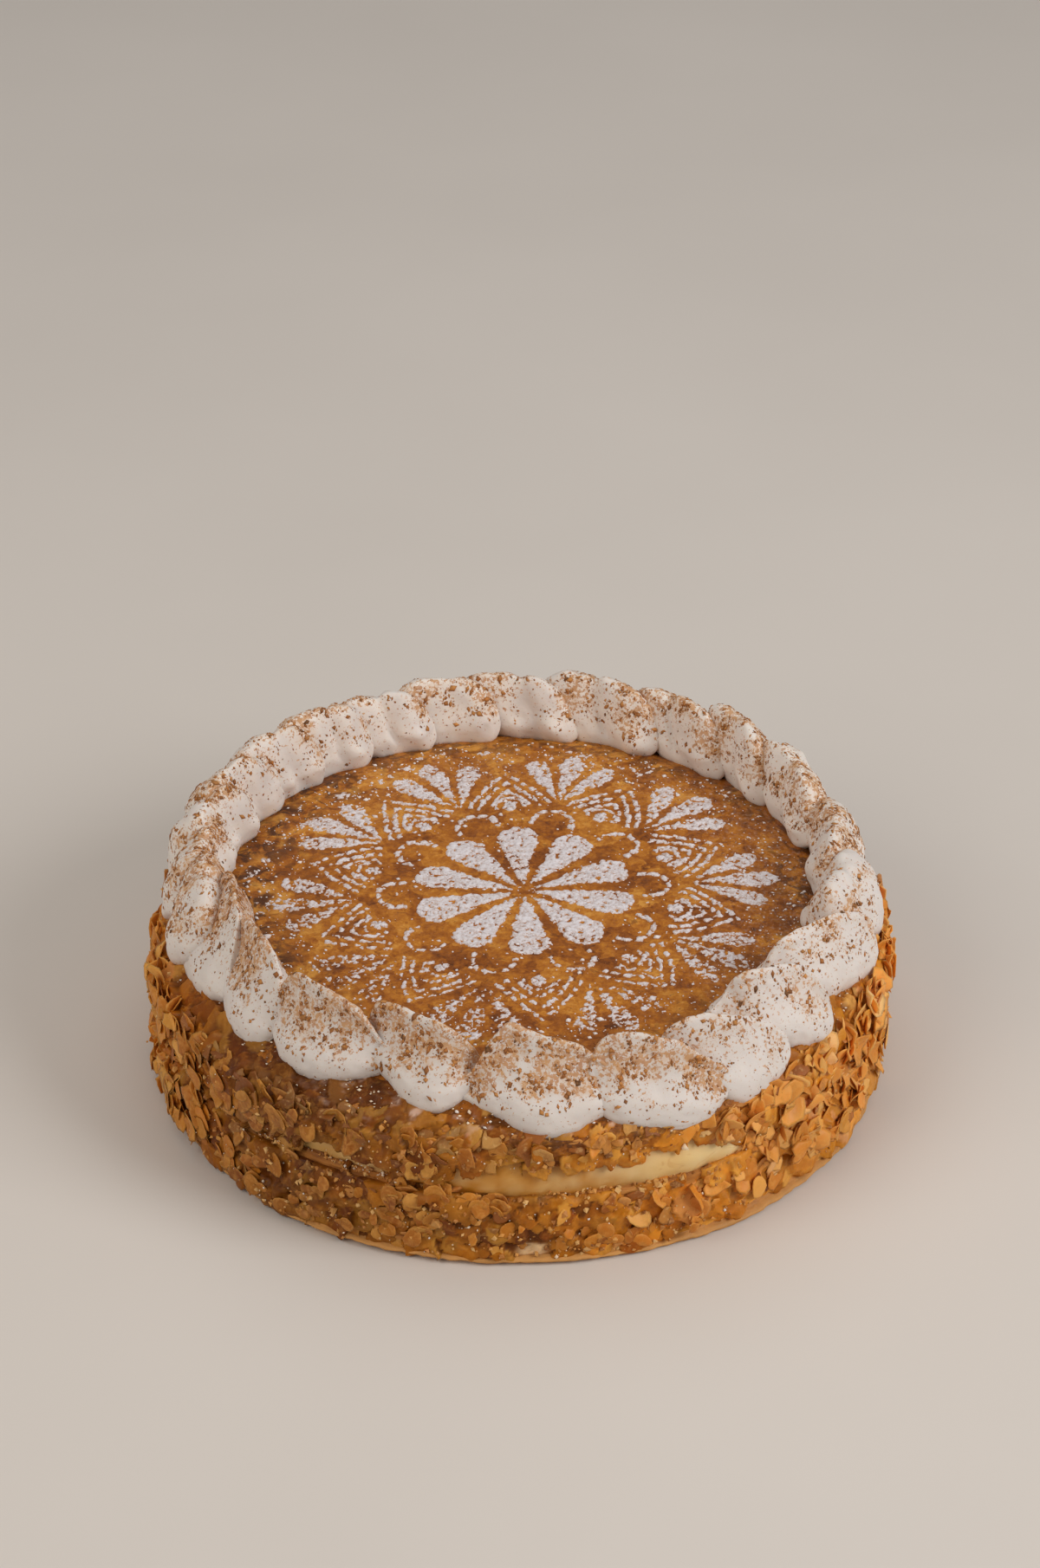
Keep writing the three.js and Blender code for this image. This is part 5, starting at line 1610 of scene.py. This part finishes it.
# ------------------------------------------------------------------ sugar stencil
def teardrop(x, y, length, half, shoulder):
    """Inside-positive distance of a petal along +x from the origin, widest at shoulder * length."""
    xs = shoulder * length
    w = np.where(
        x < xs,
        half * np.clip(x / xs, 0, 1) ** 1.0,
        half * np.sqrt(np.clip(1 - ((x - xs) / (length - xs)) ** 2, 0, 1)),
    )
    end = np.minimum(x, length - x)
    return np.minimum(w - np.abs(y), end + 0.6)


MOTIF = (1.3, 1.9)


def folded(x, y, deg):
    """Coordinates in the nearest of ten rays: along it and away from it (never negative)."""
    r = np.hypot(x, y)
    th = np.arctan2(y, x)
    f = (th - math.radians(deg) + math.radians(18)) % math.radians(36) - math.radians(18)
    return r * np.cos(f), np.abs(r * np.sin(f))


def stencil(x, y):
    """Inside-positive distance to the ten-fold rosette, a mark for its fine lines and the run along them."""
    x, y = x - MOTIF[0], y - MOTIF[1]
    px, py = folded(x, y, 21.7)
    d = teardrop(px - 2.4, py, 36.4, 7.3, 0.80)
    run = np.zeros_like(d)
    mark = np.zeros_like(d)
    # fans of three petals
    fx, fy = folded(x, y, 5.6)
    for turn, length, half in ((0.0, 31.0, 4.7), (29.0, 28.5, 4.4)):
        c, s = math.cos(math.radians(turn)), math.sin(math.radians(turn))
        qx, qy = (fx - 56.4) * c + fy * s, -(fx - 56.4) * s + fy * c
        d = np.maximum(d, teardrop(qx - 1.5, qy, length, half, 0.76))
    # arches over the gaps between the petals
    ax, ay = folded(x, y, 4.4)
    ax = ax - 44.2
    e = 0.95 - np.where(ax < -1.0, np.abs(ay - 7.1), np.abs(np.hypot(ax + 1.0, ay) - 7.1))
    e = np.where(ax < -3.8, -3.0, e)
    better = e > d
    d = np.maximum(d, e)
    run = np.where(better, np.arctan2(ay, ax) * 7.2, run)
    mark = np.where(better, 1.0, mark)
    # nested chevrons round a dot with a ring
    vx, vy = folded(x, y, 23.2)
    beta = math.radians(35)
    for apex, arm, half in ((74.8, 25.0, 0.86), (68.8, 19.5, 0.84), (63.2, 11.5, 0.80)):
        ux = apex - vx
        s = ux * math.cos(beta) + vy * math.sin(beta)
        n = -ux * math.sin(beta) + vy * math.cos(beta)
        n = n - 1.1 * np.sin(np.clip(s / arm, 0, 1) * math.pi)
        e = np.minimum(half - np.abs(n), np.minimum(s + 0.8, arm - s))
        better = e > d
        d = np.maximum(d, e)
        mark = np.where(better, 1.0, mark)
        run = np.where(better, s + apex, run)
    e = 0.72 - np.abs(np.hypot(vx - 53.6, vy) - 4.9)
    e = np.where(vx < 52.0, -3.0, e)
    better = e > d
    d = np.maximum(d, e)
    mark = np.where(better, 1.0, mark)
    run = np.where(better, np.arctan2(vy, vx - 53.6) * 5, run)
    dot = 2.5 - np.hypot((vx - 53.4) * 0.85, vy)
    return np.maximum(d, dot), mark, run


step = 0.455
g = np.arange(-97, 97 + step, step)
gx, gy = np.meshgrid(g, g, indexing="ij")
wx = gx + 1.0 * N1.fbm(xyz(gx / 5.5, gy / 5.5, 4.0), 3) + 0.9 * N3.fbm(xyz(gx / 1.9, gy / 1.9, 5.0), 2)
wy = gy + 1.0 * N1.fbm(xyz(gx / 5.5 + 31, gy / 5.5, 8.0), 3) + 0.9 * N3.fbm(xyz(gx / 1.9 + 17, gy / 1.9, 3.0), 2)
d, mark, run = stencil(wx, wy)
gr = np.hypot(gx, gy)
speck = N2.fbm(xyz(gx / 1.7, gy / 1.7, 0.4), 2)
clump = N3.fbm(xyz(gx / 7.0, gy / 7.0, 2.4), 3)
stagger = N4.fbm(xyz(gx / 3.6, gy / 3.6, 7.4), 2)
dash = np.cos(run * TAU / 4.9 + 3.2 * clump + 3.0 * stagger)
front = smooth(-5, -60, gy)
left = smooth(-20, -70, gx) * smooth(46, -16, gy)
loose = 0.42 * front + 0.42 * left + 0.42 * smooth(56, 82, gr) * (0.6 + 0.9 * clump)
loose = loose * smooth(34, 46, gr)
hole = N5.fbm(xyz(gx / 2.0, gy / 2.0, 6.1), 3, 0.6)
lay = np.where(mark > 0, np.minimum(1.20 * d, 0.85 * (dash + 0.74)) - 0.02, np.minimum(0.75 * d - 0.08, 0.45))
lay = lay + (0.80 + 0.5 * loose) * speck + 0.26 * clump - 0.50 * loose
thinned = np.clip(front + left, 0, 1) * smooth(40, 56, gr)
lay = lay - (1.5 + 0.5 * thinned) * smooth(0.15 - 0.13 * thinned - 0.05 * front, 0.35, hole) * (mark < 0.5)
# clots of sugar towards the border
gth = np.arctan2(gy, gx)
ringed = smooth(78, 87, gr) * (0.45 + 0.55 * arc(gth, 45, 215, 25))
clot = N4.fbm(xyz(gx / 4.2, gy / 4.2, 5.5), 3)
stray = -0.80 + (1.9 + 0.45 * arc(gth, 50, 150, 20)) * ringed * np.clip(clot, 0, 1) + 0.75 * speck
lay = np.where((d > -1.6) & (lay > stray), lay, stray)
lay = np.where(gr < 96.5, lay, -1)
tall = np.clip(lay, -0.5, 0.70)
hgt = 0.62 * tall
zt = top_z(gx, gy)
zs = zt + np.where(hgt > 0, 0.10 + hgt, hgt * 1.2)
solid = tall > 0
cell = solid[:-1, :-1] | solid[1:, :-1] | solid[1:, 1:] | solid[:-1, 1:]
ci, cj = np.nonzero(cell)
n = len(g)
ids = -np.ones(n * n, int)
corner = np.stack([ci * n + cj, (ci + 1) * n + cj, (ci + 1) * n + cj + 1, ci * n + cj + 1], -1)
used = np.unique(corner)
ids[used] = np.arange(len(used))
quads = ids[corner]
fx, fy = gx.ravel()[used], gy.ravel()[used]
co_top = np.stack([fx, fy, zs.ravel()[used]], -1)
co_low = np.stack([fx, fy, zt.ravel()[used] - 0.45], -1)
K = len(used)
edges = np.concatenate([quads[:, [0, 1]], quads[:, [1, 2]], quads[:, [2, 3]], quads[:, [3, 0]]])
key = np.sort(edges, 1)
uniq, first, count = np.unique(key[:, 0] * K + key[:, 1], return_index=True, return_counts=True)
border = edges[first[count == 1]]
wall = np.stack([border[:, 1], border[:, 0], border[:, 0] + K, border[:, 1] + K], -1)
thin = np.clip(1 - (tall.ravel()[used] / 0.5), 0, 1)
sugar = write_mesh(
    "sugar_stencil", np.concatenate([co_top, co_low]), [np.concatenate([quads, wall])], M_SUGAR, True,
    {"thin": np.concatenate([thin, thin])},
)
settle(sugar, "caramel")

# Loose sugar on the top, the rim and the ledge.
rs = np.random.default_rng(805)
F1, F2, F3 = 2000, 1200, 640
r1 = np.sqrt(rs.uniform(0, 1, F1)) * 98
t1 = rs.uniform(0, TAU, F1)
r1 = np.where(rs.uniform(size=F1) < 0.58, rs.uniform(77, 101, F1), r1)
p1 = np.stack([r1 * np.cos(t1), r1 * np.sin(t1), np.zeros(F1)], -1)
p1[:, 2] = top_z(p1[:, 0], p1[:, 1]) + 0.06
r2 = rs.uniform(112, 121, F2)
t2 = rs.uniform(0, TAU, F2)
p2 = np.stack([r2 * np.cos(t2), r2 * np.sin(t2), np.zeros(F2)], -1)
_sh = ss > _seg[10]
p2[:, 2] = np.interp(r2, pr[_sh][::-1], pz[_sh][::-1]) + 0.7
t3 = rs.uniform(0, TAU, F3)
t3[:340] = np.radians(rs.uniform(216, 308, 340))
z3 = np.where(rs.uniform(size=F3) < 0.5, rs.normal(28.6, 0.9, F3), rs.uniform(3, 48, F3))
r3 = on_coat(t3, z3, rs.uniform(0.0, 0.3, F3))
p3 = np.stack([r3 * np.cos(t3), r3 * np.sin(t3), z3], -1)
pos = np.concatenate([p1, p2, p3])
F = len(pos)
base = np.exp(rs.normal(math.log(0.27), 0.4, F))
base[:F1] *= 1.22
base[F1 : F1 + F2] *= 1.15
size = base[:, None] * rs.uniform(0.7, 1.5, (F, 3))
size[: F1 + F2, 2] *= 0.6
co, faces = grains(rs, pos, frames(np.tile([[0.05, 0.03, 1.0]], (F, 1)), rs.uniform(0, TAU, F)), size, OCT_V, OCT_F, 0.3)
tint = pick(rs, F, [(0.86, 0.82, 0.83), (0.78, 0.70, 0.68)], [3, 1], 0.05)
tint[F1:] = pick(rs, F2 + F3, [(0.92, 0.78, 0.58), (0.86, 0.66, 0.42), (0.90, 0.84, 0.78)], [3, 2, 1], 0.05)
bits = write_mesh("loose_sugar", co, faces, M_BITS, True, None, {"tint": per_leaf(tint, len(OCT_V))})
settle(bits, "caramel")


# ------------------------------------------------------------------ floor, light, camera
def plane(name, size, z, material):
    s = size / MM
    co = np.array([[-s, -s, z], [s, -s, z], [s, s, z], [-s, s, z]], float)
    ob = write_mesh(name, co, np.array([[0, 1, 2, 3]]), material, False)
    return ob


floor = plane("studio_floor", 6.0, -0.05, floor_material())


def area(name, at, aim, size, watts, colour):
    li = bpy.data.lights.new(name, "AREA")
    li.shape = "DISK"
    li.size = size
    li.energy = watts
    li.color = colour
    ob = bpy.data.objects.new(name, li)
    bpy.context.scene.collection.objects.link(ob)
    ob.location = at
    ob.rotation_euler = (Vector(aim) - Vector(at)).to_track_quat("-Z", "Y").to_euler()
    return ob


area("key", (1.50, -0.72, 1.16), (0, 0, 0.04), 1.1, 21.2, (1.0, 0.965, 0.94))
area("fill", (-1.2, -0.90, 1.25), (0, 0, 0.04), 1.4, 11.6, (1.0, 0.90, 0.80))
area("over", (0.0, 0.75, 1.85), (0, 0, 0.05), 1.8, 6.0, (1.0, 0.955, 0.91))

world = bpy.data.worlds.new("studio")
world.use_nodes = True
bg = world.node_tree.nodes["Background"]
bg.inputs[0].default_value = (1.0, 0.955, 0.915, 1.0)
bg.inputs[1].default_value = 0.26
scene = bpy.context.scene
scene.world = world
scene.view_settings.view_transform = "Standard"
scene.view_settings.look = "None"

cam = bpy.data.cameras.new("camera")
cam.lens = 85.0
cam.sensor_width = 36.0
cam.sensor_fit = "AUTO"
cam.clip_start = 0.05
cam.clip_end = 30.0
camera = bpy.data.objects.new("camera", cam)
scene.collection.objects.link(camera)
camera.location = (0.0, -1.0532, 0.7773)
camera.rotation_euler = (math.radians(57.47), 0.0, 0.0)
scene.camera = camera
